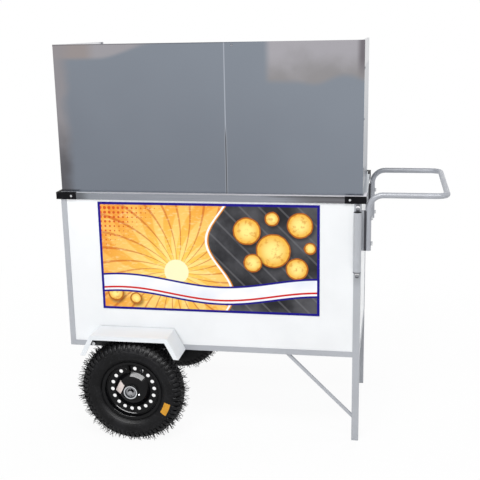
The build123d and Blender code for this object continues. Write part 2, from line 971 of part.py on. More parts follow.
bead = rim_seat + rim_sheet / 2 + rivet_clearance
bead_half = rim_width / 2 - rim_sheet - rivet_clearance
bead_inner = bead_half - tyre_wall
bead_toe = bead_half - rim_sheet
bead_heel = (bead_half, bead + rim_sheet)
left_heel = (-bead_half, bead + rim_sheet)
neck = rim_radius + rim_sheet
belly = (bead + crown) / 2
cavity_half = tread_half - tyre_wall
cavity_edge = shoulder - tyre_wall
cavity_belly = tyre_half - tyre_wall
with BuildPart() as tyre:
    with BuildSketch(wheel_section):
        with BuildLine():
            Polyline((bead_inner, neck), (bead_inner, bead), (bead_toe, bead), bead_heel, (bead_half, neck))
            ThreePointArc((bead_half, neck), (tyre_half, belly), (tread_half, shoulder))
            ThreePointArc((tread_half, shoulder), (0, crown), (-tread_half, shoulder))
            ThreePointArc((-tread_half, shoulder), (-tyre_half, belly), (-bead_half, neck))
            Polyline(
                (-bead_half, neck), left_heel, (-bead_toe, bead), (-bead_inner, bead), (-bead_inner, neck)
            )
            ThreePointArc((-bead_inner, neck), (-cavity_belly, belly), (-cavity_half, cavity_edge))
            ThreePointArc((-cavity_half, cavity_edge), (0, crown - tyre_wall), (cavity_half, cavity_edge))
            ThreePointArc((cavity_half, cavity_edge), (cavity_belly, belly), (bead_inner, neck))
        make_face()
    revolve(axis=wheel_axis)
    add(tyre_lug_ring(-1) + tyre_lug_ring(1))


def valve_stem(rise, radius):
    """A stem from the rim's well towards the hub in front of the disc, starting a rise above the well."""
    top = (wheel_x, -wheel_y - valve_offset, tyre_radius + rim_well + rise)
    return cylinder(top, (0, 0, -1), valve_length + rise, radius).rotate(wheel_axis, valve_turn)


rim_half = rim_width / 2 - rim_sheet / 2
well_half = rim_well_width / 2
ramp = well_half + rim_ramp
skirt = rim_well - rim_sheet + rim_weld
disc_dish = disc_offset + disc_rise
dome_foot = disc_hole_circle - disc_hole - disc_foot
dome_top = hub_radius + disc_boss
dome_half_turn = atan2(disc_rise, dome_foot - dome_top) / 2
dome_slope = hypot(disc_rise, dome_foot - dome_top)
dome_bend = disc_round * min(disc_boss, dome_slope) / tan(dome_half_turn)
foot_bend = (1 - disc_round) * dome_slope / 2 / tan(dome_half_turn)
with BuildPart() as rim:
    with BuildSketch(wheel_section):
        with BuildLine():
            FilletPolyline(
                (rim_half + rim_sheet / 2, rim_radius),
                (rim_half, rim_seat),
                (ramp, rim_seat),
                (well_half, rim_well),
                (-well_half, rim_well),
                (-ramp, rim_seat),
                (-rim_half, rim_seat),
                (-rim_half - rim_sheet / 2, rim_radius),
                radius=rim_sheet,
            )
        trace(line_width=rim_sheet)
        with BuildLine():
            FilletPolyline(
                (disc_offset + disc_skirt, skirt),
                (disc_offset, skirt),
                (disc_offset, dome_foot),
                (disc_dish, dome_top),
                (disc_dish, hub_radius),
                radius=[2 * rim_sheet, foot_bend, dome_bend],
            )
        trace(line_width=rim_sheet)
    revolve(axis=wheel_axis)
    with BuildSketch(wheel_face):
        Circle(hub_radius)
        with PolarLocations(disc_hole_circle, disc_hole_count, start_angle=disc_hole_turn):
            Circle(disc_hole)
    extrude(amount=hub_outer, mode=Mode.SUBTRACT)
    add(valve_stem(rim_flange, valve_radius + rivet_clearance), mode=Mode.SUBTRACT)

outward = (0, -1, 0)
hub_start = (wheel_x, hub_inner - wheel_y, tyre_radius)
hub = cylinder(hub_start, outward, hub_inner + hub_outer, hub_radius, hub_bore)
bearing_places = [bearing_out - bearing_width, -bearing_in]
bearings = [
    cylinder(
        (wheel_x, -wheel_y - place, tyre_radius),
        outward,
        bearing_width,
        hub_bore - bearing_seat,
        axle_radius + axle_clearance,
    )
    for place in bearing_places
]
tyre_valve = valve_stem(rim_sheet, valve_radius)

wheel_pieces = [
    ("tyre", tyre.part),
    ("rim", rim.part),
    ("hub", hub),
    ("bearings", group(bearings)),
    ("tyre_valve", tyre_valve),
]
for node, piece in wheel_pieces:
    save(piece, f"front_{node}")
    with BuildPart() as rear_piece:
        mirror(piece, about=Plane.XZ)
    save(rear_piece.part, f"rear_{node}")

# Fryer tanks and the fry bin hang by their flanges in the worktop


def tank_part(centre_x, width, height, holes):
    """An open pan with a flange, and a pattern of drain holes where asked."""
    with BuildPart() as tank:
        with BuildSketch(Plane((centre_x, tank_y, worktop_height - height))):
            Rectangle(width, tank_depth)
        extrude(amount=height)
        with BuildSketch(Plane((centre_x, tank_y, worktop_height))):
            Rectangle(width + 2 * tank_flange, tank_depth + 2 * tank_flange)
        extrude(amount=tank_sheet)
        with BuildSketch(Plane((centre_x, tank_y, worktop_height - height + tank_sheet))):
            Rectangle(width - 2 * tank_sheet, tank_depth - 2 * tank_sheet)
        extrude(amount=height, mode=Mode.SUBTRACT)
        if holes:
            with BuildSketch(Plane((centre_x, tank_y, worktop_height - height))):
                columns = int(width / bin_hole_pitch) - 1
                rows = int(tank_depth / bin_hole_pitch) - 1
                with GridLocations(bin_hole_pitch, bin_hole_pitch, columns, rows):
                    Circle(bin_hole)
            extrude(amount=tank_sheet, mode=Mode.SUBTRACT)
    return tank.part


def basket_part(centre_x):
    """A slotted basket hung by two lugs on the tank's flange, with a long rod handle."""
    width = tank_width - 2 * tank_sheet - 2 * basket_gap
    depth = tank_depth - 2 * tank_sheet - 2 * basket_gap
    rim = worktop_height + tank_sheet + basket_seat + basket_sheet
    floor = rim - basket_height
    slots_long = int(depth / basket_slot_pitch) - 1
    slots_short = int(width / basket_slot_pitch) - 1
    slot_height = basket_height - 2 * basket_lug
    slot_middle = rim - basket_height / 2 - basket_slot / 2
    rod_y = tank_y + depth / 2 - basket_sheet - basket_rod
    with BuildPart() as basket:
        with BuildSketch(Plane((centre_x, tank_y, floor))):
            Rectangle(width, depth)
        extrude(amount=basket_height)
        with BuildSketch(Plane((centre_x, tank_y, floor + basket_sheet))):
            Rectangle(width - 2 * basket_sheet, depth - 2 * basket_sheet)
        extrude(amount=basket_height, mode=Mode.SUBTRACT)
        with BuildSketch(Plane((centre_x, tank_y, floor))):
            with GridLocations(0, basket_slot_pitch, 1, slots_long):
                Rectangle(width - 2 * basket_lug, basket_slot)
        extrude(amount=basket_sheet, mode=Mode.SUBTRACT)
        with BuildSketch(Plane((centre_x, tank_y, slot_middle), x_dir=(0, 1, 0), z_dir=(1, 0, 0))):
            with GridLocations(basket_slot_pitch, 0, slots_long, 1):
                Rectangle(basket_slot, slot_height)
        extrude(amount=width, both=True, mode=Mode.SUBTRACT)
        with BuildSketch(Plane((centre_x, tank_y, slot_middle), x_dir=(1, 0, 0), z_dir=(0, -1, 0))):
            with GridLocations(basket_slot_pitch, 0, slots_short, 1):
                Rectangle(basket_slot, slot_height)
        extrude(amount=depth, both=True, mode=Mode.SUBTRACT)
        for lug_side in (-1, 1):
            lug_x = centre_x + lug_side * (width / 2 + basket_lug / 2 - basket_sheet)
            with BuildSketch(Plane((lug_x, tank_y, rim - basket_sheet))):
                Rectangle(basket_lug, basket_lug_length)
            extrude(amount=basket_sheet)
        with BuildLine() as rod_path:
            FilletPolyline(
                (centre_x, rod_y + basket_rod / 2, rim - basket_lug),
                (centre_x, rod_y + basket_rod / 2, rim + basket_rise),
                (centre_x, rod_y + basket_grip, rim + basket_rise + basket_slope),
                radius=basket_bend,
            )
        with BuildSketch(Plane((centre_x, rod_y + basket_rod / 2, rim - basket_lug))):
            Circle(basket_rod)
        sweep()
    return basket.part


for centre_x, end in zip(tank_xs, ("left", "right")):
    save(tank_part(centre_x, tank_width, tank_height, False), f"{end}_fryer_tank")
    save(basket_part(centre_x), f"{end}_fry_basket")
save(tank_part(bin_x, bin_width, bin_height, True), "fry_bin")

# Burners hang on straps under the tanks, their mouths towards the gas valves
burners = []
burner_back = panel_inside - burner_back_gap
burner_middle = burner_back - burner_length / 2
for centre_x in tank_xs:
    with BuildPart() as burner:
        with BuildSketch(Plane((centre_x, burner_back - burner_length, burner_z), z_dir=(0, 1, 0))):
            Circle(burner_radius)
        extrude(amount=burner_length)
        for strap_y in (burner_middle - burner_strap_pitch / 2, burner_middle + burner_strap_pitch / 2):
            add(
                block(
                    (centre_x - burner_strap_width / 2, centre_x + burner_strap_width / 2),
                    (strap_y - burner_strap / 2, strap_y + burner_strap / 2),
                    (burner_z, tank_bottom),
                )
            )
        with BuildSketch(
            Plane((centre_x, burner_back - burner_length + burner_wall, burner_z), z_dir=(0, 1, 0))
        ):
            Circle(burner_radius - burner_wall)
        extrude(amount=burner_length, mode=Mode.SUBTRACT)
    burners.append(burner.part)
save(group(burners), "burners")

# Gas valves behind the rear panel, on a manifold with a hose barb
valves = []
valve_back = panel_inside - valve_depth
knob_face = panel_inside + panel_sheet + knob_gap
spindle_end = panel_inside + panel_sheet + spindle_length
for centre_x in tank_xs:
    with BuildPart() as gas_valve:
        with BuildSketch(Plane((centre_x, valve_back, burner_z), z_dir=(0, 1, 0))):
            Rectangle(valve_block, valve_block)
        extrude(amount=valve_depth)
        with BuildSketch(Plane((centre_x, panel_inside, burner_z), z_dir=(0, 1, 0))):
            Circle(spindle_radius)
        extrude(amount=spindle_end - panel_inside)
        with BuildSketch(Plane((centre_x, valve_back, burner_z), z_dir=(0, -1, 0))):
            Circle(valve_nozzle)
        extrude(amount=valve_nozzle_length)
    valves.append(gas_valve.part)
save(group(valves), "gas_valves")

manifold_y = panel_inside - valve_depth / 2
manifold_z = burner_z - manifold_drop
manifold_start = tank_xs[0] - valve_block / 2
manifold_end = tank_xs[1] + valve_block / 2
with BuildPart() as gas_manifold:
    pipe_start = (manifold_start, manifold_y, manifold_z)
    add(cylinder(pipe_start, (1, 0, 0), manifold_end - manifold_start, manifold_radius))
    add(cylinder((manifold_end, manifold_y, manifold_z), (1, 0, 0), barb_length, barb_radius))
    for centre_x in tank_xs:
        boss_height = manifold_drop - valve_block / 2
        add(cylinder((centre_x, manifold_y, manifold_z), (0, 0, 1), boss_height, manifold_boss))
save(gas_manifold.part, "gas_manifold")

for centre_x, end in zip(tank_xs, ("left", "right")):
    with BuildPart() as knob:
        with BuildSketch(Plane((centre_x, knob_face, burner_z), z_dir=(0, 1, 0))):
            Circle(knob_radius)
        extrude(amount=knob_skirt, taper=knob_taper)
        with BuildSketch(Plane((centre_x, knob_face, burner_z), x_dir=(1, 0, 0), z_dir=(0, 1, 0))):
            Rectangle(knob_rib, 2 * knob_radius - knob_rib)
        extrude(amount=knob_height)
        with BuildSketch(Plane((centre_x, knob_face, burner_z), z_dir=(0, 1, 0))):
            Circle(spindle_radius + knob_bore_clearance)
        extrude(amount=spindle_length + knob_gap, mode=Mode.SUBTRACT)
    save(knob.part, f"{end}_gas_knob")

# Rear door: a folded pan on two butt hinges at the rear right leg, with a bow handle
door_left = mullion_x + frame_tube / 2 + door_gap
door_right = leg_inner - door_gap
door_bottom = rail_top + door_gap
door_top = band_bottom - door_head_gap
with BuildPart() as rear_door:
    add(block((door_left, door_right), (back - door_thickness, back), (door_bottom, door_top)))
    with BuildSketch(Plane.XZ.offset(-back + door_thickness)):
        with Locations(((door_left + door_right) / 2, (door_bottom + door_top) / 2)):
            Rectangle(door_right - door_left - 2 * door_sheet, door_top - door_bottom - 2 * door_sheet)
    extrude(amount=-(door_thickness - door_sheet), mode=Mode.SUBTRACT)
save(rear_door.part, "rear_door")

hinge_x = leg_inner - door_gap / 2
hinge_y = back + hinge_barrel
hinge_heights = [door_bottom + hinge_inset, door_top - hinge_inset]
knuckle = hinge_height / 3


def hinge_leaf_part(middle, leaf_side, knuckles):
    """A hinge leaf lying on the rear face, with its knuckles round the pin."""
    low = middle - hinge_height / 2
    leaf_end = hinge_x + leaf_side * (hinge_leaf + door_gap)
    leaf_start = hinge_x + leaf_side * door_gap / 2
    with BuildPart() as leaf:
        add(block(sorted((leaf_start, leaf_end)), (back, back + hinge_sheet), (low, low + hinge_height)))
        for index in range(3):
            barrel_low = low + index * knuckle
            if index in knuckles:
                barrel_start = (hinge_x, hinge_y, barrel_low + hinge_knuckle_gap / 2)
                add(cylinder(barrel_start, (0, 0, 1), knuckle - hinge_knuckle_gap, hinge_barrel))
            else:
                clear = hinge_barrel + hinge_knuckle_gap
                add(
                    cylinder(
                        (hinge_x, hinge_y, barrel_low - hinge_knuckle_gap),
                        (0, 0, 1),
                        knuckle + 2 * hinge_knuckle_gap,
                        clear,
                    ),
                    mode=Mode.SUBTRACT,
                )
        add(
            cylinder((hinge_x, hinge_y, low), (0, 0, 1), hinge_height, hinge_pin + hinge_clearance),
            mode=Mode.SUBTRACT,
        )
    return leaf.part


save(group([hinge_leaf_part(z, 1, (0, 2)) for z in hinge_heights]), "hinge_fixed_leaves")
save(group([hinge_leaf_part(z, -1, (1,)) for z in hinge_heights]), "hinge_door_leaves")
save(
    group(
        [
            cylinder((hinge_x, hinge_y, z - hinge_height / 2), (0, 0, 1), hinge_height, hinge_pin)
            for z in hinge_heights
        ]
    ),
    "hinge_pins",
)

grip_x = door_left + door_handle_inset
grip_middle = (door_bottom + door_top) / 2
grip_low = grip_middle - door_handle_span / 2
grip_high = grip_middle + door_handle_span / 2
with BuildPart() as door_handle:
    with BuildLine() as grip_path:
        FilletPolyline(
            (grip_x, back, grip_low),
            (grip_x, back + door_handle_stand, grip_low),
            (grip_x, back + door_handle_stand, grip_high),
            (grip_x, back, grip_high),
            radius=2 * door_handle_rod,
        )
    with BuildSketch(Plane((grip_x, back, grip_low), z_dir=(0, 1, 0))):
        Circle(door_handle_rod)
    sweep()
save(door_handle.part, "door_handle")
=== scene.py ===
"""Looks of the french fry cart: camera, light, materials and the pieces that are too fine for solids."""
import json
import math
import random

import bmesh
import bpy
from mathutils import Matrix, Vector


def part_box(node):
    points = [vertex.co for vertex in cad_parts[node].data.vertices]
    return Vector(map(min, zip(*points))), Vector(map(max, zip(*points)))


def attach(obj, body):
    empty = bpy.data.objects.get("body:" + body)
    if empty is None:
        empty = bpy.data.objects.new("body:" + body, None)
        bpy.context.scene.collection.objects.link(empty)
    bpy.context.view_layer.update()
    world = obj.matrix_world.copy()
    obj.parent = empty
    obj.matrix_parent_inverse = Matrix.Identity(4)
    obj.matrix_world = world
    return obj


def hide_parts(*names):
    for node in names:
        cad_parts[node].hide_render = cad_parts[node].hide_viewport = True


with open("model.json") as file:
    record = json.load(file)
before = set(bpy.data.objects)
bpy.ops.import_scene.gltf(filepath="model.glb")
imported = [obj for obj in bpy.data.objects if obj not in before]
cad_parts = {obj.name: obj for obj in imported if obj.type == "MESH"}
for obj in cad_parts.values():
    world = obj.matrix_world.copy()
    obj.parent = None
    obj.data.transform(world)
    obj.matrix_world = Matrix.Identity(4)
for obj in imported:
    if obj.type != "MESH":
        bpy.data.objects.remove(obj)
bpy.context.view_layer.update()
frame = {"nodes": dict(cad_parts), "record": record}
nodes = frame["nodes"]

# A millimetre in metres, and a metre in millimetres
MM = 0.001
METRE = 1000

# Wheels: where they stand, in millimetres
TYRE_RADIUS = 192
tyre_low, tyre_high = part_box("front_tyre")
WHEEL_X = (tyre_low.x + tyre_high.x) / 2 / MM
WHEEL_Y = -(tyre_low.y + tyre_high.y) / 2 / MM
WHEEL_Z = TYRE_RADIUS

# A wheel disc's outer face, in millimetres out from the wheel's middle plane and from its axle:
# a domed boss that falls at 45 degrees to a rounded foot and a flat web
BOSS_OUT = 28.25
WEB_OUT = 5.25
WEB_EDGE = 87
DOME_CENTRE = (-6.8, 31.0)
DOME_BEND = 35.05
FOOT_CENTRE = (15.78, 72.88)
FOOT_BEND = 10.53
SLOPE = math.sqrt(0.5)


def srgb(red, green, blue):
    """A colour of 0 to 255 steps as the linear values that shaders use."""
    linear = []
    for step in (red, green, blue):
        share = step / 255
        linear.append(share / 12.92 if share <= 0.04045 else ((share + 0.055) / 1.055) ** 2.4)
    return tuple(linear)


def scaled(colour, factor):
    """A colour made lighter or darker."""
    return tuple(channel * factor for channel in colour)


# Node trees are written as expressions on fields, each of which is a node's output


class Field:
    """A value that varies over a surface."""

    def __init__(self, graph, socket):
        self.graph = graph
        self.socket = socket

    def __add__(self, other):
        return self.graph.math("ADD", self, other)

    def __radd__(self, other):
        return self.graph.math("ADD", other, self)

    def __sub__(self, other):
        return self.graph.math("SUBTRACT", self, other)

    def __rsub__(self, other):
        return self.graph.math("SUBTRACT", other, self)

    def __mul__(self, other):
        return self.graph.math("MULTIPLY", self, other)

    def __rmul__(self, other):
        return self.graph.math("MULTIPLY", other, self)

    def __truediv__(self, other):
        return self.graph.math("DIVIDE", self, other)

    def sin(self):
        return self.graph.math("SINE", self)

    def abs(self):
        return self.graph.math("ABSOLUTE", self)

    def sign(self):
        return self.graph.math("SIGN", self)

    def sqrt(self):
        return self.graph.math("SQRT", self)

    def fract(self):
        return self.graph.math("FRACT", self)

    def least(self, other):
        return self.graph.math("MINIMUM", self, other)

    def most(self, other):
        return self.graph.math("MAXIMUM", self, other)

    def between(self, low, high):
        """0 at low and 1 at high."""
        return (self - low) / (high - low)

    def step(self, low, high):
        """0 below low, 1 above high, and smooth between them."""
        plugs = {"Value": self, "From Min": low, "From Max": high}
        return self.graph.node("ShaderNodeMapRange", plugs, "Result", interpolation_type="SMOOTHSTEP")


def distance(first, second):
    """The length of two offsets at a right angle."""
    return (first * first + second * second).sqrt()


class Tree:
    """A node tree."""

    # A Mix node has sockets for each kind of value, and these are the numbers of its vectors and colours
    MIX_VECTORS = (4, 5, 1)
    MIX_COLOURS = (6, 7, 2)

    def __init__(self, tree):
        self.tree = tree
        self.coordinates = None

    def plug(self, socket, value):
        """Give an input a constant or a field."""
        if isinstance(value, Field):
            self.tree.links.new(value.socket, socket)
        elif isinstance(value, tuple) and socket.type == "RGBA":
            socket.default_value = (*value, 1)
        else:
            socket.default_value = value

    def node(self, kind, plugs, output=0, **settings):
        """Add a node with its settings, give it its inputs and return one of its outputs."""
        made = self.tree.nodes.new(kind)
        for setting, value in settings.items():
            setattr(made, setting, value)
        for socket, value in plugs.items():
            self.plug(made.inputs[socket], value)
        return Field(self, made.outputs[output])

    def math(self, operation, *values):
        """One operation on fields and numbers."""
        return self.node("ShaderNodeMath", dict(enumerate(values)), operation=operation)

    def place(self):
        """The point's coordinates in metres, which turn with the piece."""
        if self.coordinates is None:
            self.coordinates = self.node("ShaderNodeTexCoord", {}, "Object")
        return self.coordinates

    def normal(self):
        """The direction in which the surface faces."""
        return self.node("ShaderNodeNewGeometry", {}, "Normal")

    def axis(self, name):
        """The point's place along X, Y or Z."""
        return self.node("ShaderNodeSeparateXYZ", {0: self.place()}, name)

    def facing(self, name):
        """How far the surface faces along X, Y or Z."""
        return self.node("ShaderNodeSeparateXYZ", {0: self.normal()}, name)

    def noise(self, scale, detail=2.0, stretch=(1, 1, 1)):
        """Soft clouds, which run long along an axis with a small stretch."""
        spread = self.node("ShaderNodeVectorMath", {0: self.place(), 1: stretch}, operation="MULTIPLY")
        return self.node("ShaderNodeTexNoise", {"Vector": spread, "Scale": scale, "Detail": detail}, "Fac")

    def cells(self, scale):
        """The distance to the middle of the nearest of many cells."""
        return self.node("ShaderNodeTexVoronoi", {"Vector": self.place(), "Scale": scale}, "Distance")

    def mix(self, share, first, second):
        """A share of the second colour over the first."""
        one, two, output = self.MIX_COLOURS
        plugs = {"Factor": share, one: first, two: second}
        return self.node("ShaderNodeMix", plugs, output, data_type="RGBA")

    def mix_vectors(self, share, first, second):
        """A share of the second vector over the first."""
        one, two, output = self.MIX_VECTORS
        plugs = {"Factor": share, one: first, two: second}
        return self.node("ShaderNodeMix", plugs, output, data_type="VECTOR")


class Graph(Tree):
    """One material, whose shader's inputs take constants or fields."""

    EDGE_SAMPLES = 4

    def __init__(self, name, **constants):
        self.material = bpy.data.materials.new(name)
        self.material.use_nodes = True
        super().__init__(self.material.node_tree)
        self.shader = self.tree.nodes["Principled BSDF"]
        for socket, value in constants.items():
            self.set(socket.replace("_", " "), value)

    def set(self, socket, value):
        """Give one of the shader's inputs a constant or a field."""
        self.plug(self.shader.inputs[socket], value)

    def roughen(self, middle, spread, noise):
        """Roughness that wanders about its middle."""
        self.set("Roughness", middle + spread * (noise - 0.5))

    def own_normal(self, share, *axes):
        """A normal given in the piece's own axes, laid over the surface's normal by a share."""
        joined = self.node("ShaderNodeCombineXYZ", dict(enumerate(axes)))
        spaces = {"convert_from": "OBJECT", "convert_to": "WORLD"}
        turned = self.node("ShaderNodeVectorTransform", {0: joined}, vector_type="NORMAL", **spaces)
        self.set("Normal", self.mix_vectors(share, self.normal(), turned))

    def bump(self, height, strength, depth, round_edge=0.0):
        """Fine relief, with the edges rounded off where a radius is given."""
        plugs = {"Strength": strength, "Distance": depth, "Height": height}
        if round_edge:
            edge = self.node("ShaderNodeBevel", {"Radius": round_edge}, samples=self.EDGE_SAMPLES)
            plugs["Normal"] = edge
        self.set("Normal", self.node("ShaderNodeBump", plugs))


# Paints

# How far painted edges are rounded off, and the thickness of the pole socket's floor, in metres
PAINT_EDGE = 0.0012
SOCKET_FLOOR = 0.003


def mottled(g, colour, dark=0.965, light=1.02, scale=5):
    """A colour with faint clouds in it."""
    return g.mix(g.noise(scale, 3).step(0.3, 0.7), scaled(colour, dark), scaled(colour, light))


def spray(g, tone, roughness, edge=0.0):
    """Finish a material as sprayed paint, with the fine peel of the spray."""
    g.set("Base Color", tone)
    g.roughen(roughness, 0.12, g.noise(14, 3))
    g.bump(g.noise(420, 2), 0.05, 0.0006, edge)
    return g.material


def paint(name, colour, roughness, specular=0.5):
    """Plain sprayed paint."""
    g = Graph(name, Specular_IOR_Level=specular)
    return spray(g, mottled(g, colour), roughness, PAINT_EDGE)


def packing_strip(name, colour, shade_x):
    """A painted strip, with a line of painted shade along it where it meets the handle's tube."""
    g = Graph(name)
    # Painted shade: a dark line on the strip beside the handle's tube
    gap_shade = (g.axis("X") - shade_x).step(-0.0004, 0.0004)
    g.set("Base Color", g.mix(gap_shade, mottled(g, colour, 0.94, 1), srgb(52, 52, 58)))
    g.set("Roughness", 0.5 + 0.1 * g.noise(30, 2))
    return g.material


def socket_paint(name, colour, mount):
    """The pole socket's paint, with painted shade in the tube's bore and at its two ends."""
    g = Graph(name)
    axis_x, axis_y, middle = mount["pos_m"]
    bore = mount["dims"]["r_mm"] * MM
    length = mount["dims"]["length_mm"] * MM
    head = middle + length / 2
    foot = head - length - SOCKET_FLOOR
    z = g.axis("Z")
    reach = distance(g.axis("X") - axis_x, g.axis("Y") - axis_y)
    # Painted shade: dark in the bore, and darker at the tube's two ends
    tube = 1 - reach.step(bore + 0.0022, bore + 0.0026)
    shade_inside = 1 - reach.step(bore + 0.0006, bore + 0.0012)
    ends = (head - z).step(0.0016, 0.0006) + (z - foot).step(0.005, 0.003)
    tone = g.mix(tube * ends * 0.85, mottled(g, colour), srgb(74, 74, 80))
    return spray(g, g.mix(shade_inside, tone, srgb(30, 30, 33)), 0.36, PAINT_EDGE)


def fender_paint(name, colour, wall_y):
    """A mudguard: white outside, with painted shade on its inner faces and on its back wall."""
    g = Graph(name)
    y = g.axis("Y")
    outwards = g.facing("Y") * y.sign()
    # Painted shade on faces that look down or inwards, and on the back wall against the cabinet
    wall = (y.abs() - wall_y).step(0.004, 0.003) * outwards.step(0.4, 0.6)
    shade_inside = g.facing("Z").step(-0.05, -0.2).most(outwards.step(-0.4, -0.6)).most(wall)
    return spray(g, g.mix(shade_inside, mottled(g, colour), srgb(50, 51, 55)), 0.38)


# Stainless sheet

# The stretch of noise on sheet that was rolled along X or along Z
ROLLED_X = (0.02, 1, 1)
ROLLED_Z = (1, 1, 0.02)


def sheet_steel(name, colour, roughness):
    """Plain rolled sheet, with long fine streaks."""
    g = Graph(name, Metallic=1.0)
    streaks = g.noise(260, 4, ROLLED_X)
    tone = 0.6 * streaks + 0.4 * g.noise(3, 2)
    g.set("Base Color", g.mix(tone.step(0.3, 0.7), scaled(colour, 0.93), scaled(colour, 1.06)))
    g.roughen(roughness, 0.1, g.noise(90, 3, ROLLED_X))
    g.bump(streaks * 0.02, 0.3, 0.002)
    return g.material


def worktop_steel(name, low, high, guard_front):
    """The worktop's folded sheet, its reflections painted: a ledge in bright painted highlight over a
    duller edge whose painted reflection darkens towards the handle.
    """
    g = Graph(name)
    across = g.axis("X").between(low.x, high.x)
    depth = g.axis("Y").between(low.y, guard_front)
    streaks = g.noise(260, 4, ROLLED_X)
    # The front edge's painted reflection, darker near the left cap and towards the handle, with a line of
    # painted shade under its fold there
    edge = g.mix(across.step(0.7, 0.86), srgb(147, 150, 158), srgb(104, 103, 107))
    edge = g.mix(across.step(0.2, 0.05) * 0.5, edge, srgb(126, 134, 139))
    edge = g.mix(across.step(0.115, 0.075) * 0.8, edge, srgb(84, 86, 90))
    under = (high.z - g.axis("Z")).step(0.009, 0.003) * across.step(0.66, 0.74)
    edge = g.mix(under * 0.6, edge, srgb(52, 50, 54))
    # The ledge in front of the guard as painted highlight: dull at the left, bright from there on, with
    # painted shade in a crease and a brighter painted highlight along its front fold
    ledge = g.mix(across.step(0.05, 0.3), srgb(206, 210, 216), srgb(254, 250, 254))
    crease_shade = depth.step(0.24, 0.34) * depth.step(0.66, 0.56)
    crease_shade = crease_shade * across.step(0.1, 0.3) * across.step(0.75, 0.5)
    ledge = g.mix(crease_shade * 0.8, ledge, srgb(128, 130, 136))
    ledge = g.mix(depth.step(0.3, 0.16) * 0.9, ledge, srgb(254, 252, 254))
    # Behind the guard the top is plain sheet
    behind = (depth - 1).step(-0.04, 0.04)
    ledge = g.mix(behind, ledge, srgb(176, 183, 190))
    top = g.facing("Z").step(0.5, 0.8)
    tone = g.mix(top, edge, ledge)
    # Faces towards +X take a lighter painted reflection
    tone = g.mix(g.facing("X").step(0.5, 0.8), tone, srgb(160, 167, 177))
    g.set("Base Color", g.mix(streaks.step(0.35, 0.7) * 0.15, tone, srgb(190, 194, 200)))
    # The ledge's painted highlight is matt colour, and the rest is metal
    g.set("Metallic", 1 - top * (1 - behind))
    g.roughen(0.24, 0.1, g.noise(90, 3, ROLLED_X))
    g.bump(streaks, 0.02, 0.001, 0.001)
    return g.material


def wing_steel(name, low, high):
    """A wing of the guard in painted reflection: white at its head, duller and bluer towards the worktop.
    """
    g = Graph(name, Metallic=1.0, Specular_Tint=(0.8, 0.8, 0.8))
    up = g.axis("Z").between(low.z, high.z)
    streaks = g.noise(260, 4, ROLLED_Z)
    tone = g.mix(up.step(0.0, 0.8), srgb(150, 156, 166), srgb(208, 211, 216))
    tone = g.mix(up.step(0.825, 0.85), tone, srgb(236, 236, 239))
    g.set("Base Color", g.mix(streaks.step(0.3, 0.7) * 0.1, tone, srgb(190, 194, 202)))
    g.roughen(0.3, 0.1, g.noise(90, 3, ROLLED_Z))
    g.bump(streaks * 0.02, 0.3, 0.002)
    return g.material


def guard_steel(name, seam_x, low, high):
    """The wind guard's bright sheet: grey, with a bright room painted in as soft warm patches of
    reflection, and painted shade at its curled ends.
    """
    g = Graph(name, Metallic=1.0)
    x = g.axis("X")
    z = g.axis("Z")
    across = x.between(low.x, high.x)
    up = z.between(low.z, high.z)
    drift = g.noise(2.6, 2) - 0.5
    fine = g.noise(11, 3) - 0.5
    # A painted gradient of reflected light, lighter towards the upper right
    light = 0.45 * across + 0.55 * up + 0.5 * drift
    tone = g.mix(light.step(0.0, 1.0), srgb(120, 126, 136), srgb(137, 144, 154))
    # A painted reflection: a pale warm patch that tapers from the upper left corner
    foot = 0.91 + 0.09 * across.step(0.15, 0.34)
    patch = (up - foot + 0.03 * drift).step(-0.02, 0.02) * (1 - across.step(0.26, 0.36))
    warm = g.mix(across.step(0.1, 0.15), srgb(157, 148, 146), srgb(163, 160, 164))
    tone = g.mix(patch * 0.9, tone, warm)
    # A paler painted reflection that fills the upper right corner, with a wavy foot
    foot = 0.745 + 0.035 * (across * 26 + 2.2).sin() * across.step(0.78, 0.9)
    patch = (across + 0.02 * drift).step(0.685, 0.715) * (up - foot + 0.05 * drift).step(-0.025, 0.03)
    warm = g.mix((up + 0.25 * fine).step(0.74, 0.98), srgb(150, 147, 148), srgb(174, 171, 176))
    tone = g.mix(patch * 0.92, tone, warm)
    # The ends, where the sheet curls, in painted shade: the left one darker towards the bottom, the right
    # one near its top
    end = 1 - (across + 0.05 * fine).step(0.012, 0.06)
    curl = g.mix((up + 0.35 * fine).step(0.1, 0.55), srgb(92, 90, 93), srgb(150, 146, 149))
    tone = g.mix(end * 0.85, tone, curl)
    end = across.step(0.972, 0.992) * up.step(0.72, 0.9)
    tone = g.mix(end * 0.8, tone, srgb(104, 98, 104))
    # The lapped seam: a faint painted highlight along it above, and below a line of painted shade between
    # two painted highlights
    lap = (x - seam_x).abs()
    above = up.step(0.36, 0.48)
    tone = g.mix((1 - lap.step(0.003, 0.0062)) * (1 - above) * 0.55, tone, srgb(172, 175, 182))
    seam = g.mix(above, srgb(74, 77, 83), srgb(176, 181, 191))
    tone = g.mix((1 - lap.step(0.0012, 0.0027)) * 0.85, tone, seam)
    # The shaded cut along the top
    cut = (high.z - z).step(0.0045, 0.002) * across.step(0.7, 0.5)
    g.set("Base Color", g.mix(cut * 0.5, tone, srgb(78, 78, 86)))
    g.set("Roughness", 0.12 + 0.06 * g.noise(60, 3) + 0.12 * up.step(0.03, 0.0))
    g.bump(g.noise(1.7, 1), 0.12, 0.01)
    return g.material


# Plated metal


def spangled(g, colour):
    """A metal's colour with a faint crystal mottling."""
    return g.mix(g.cells(240).step(0.2, 0.8), scaled(colour, 1.05), scaled(colour, 0.86))


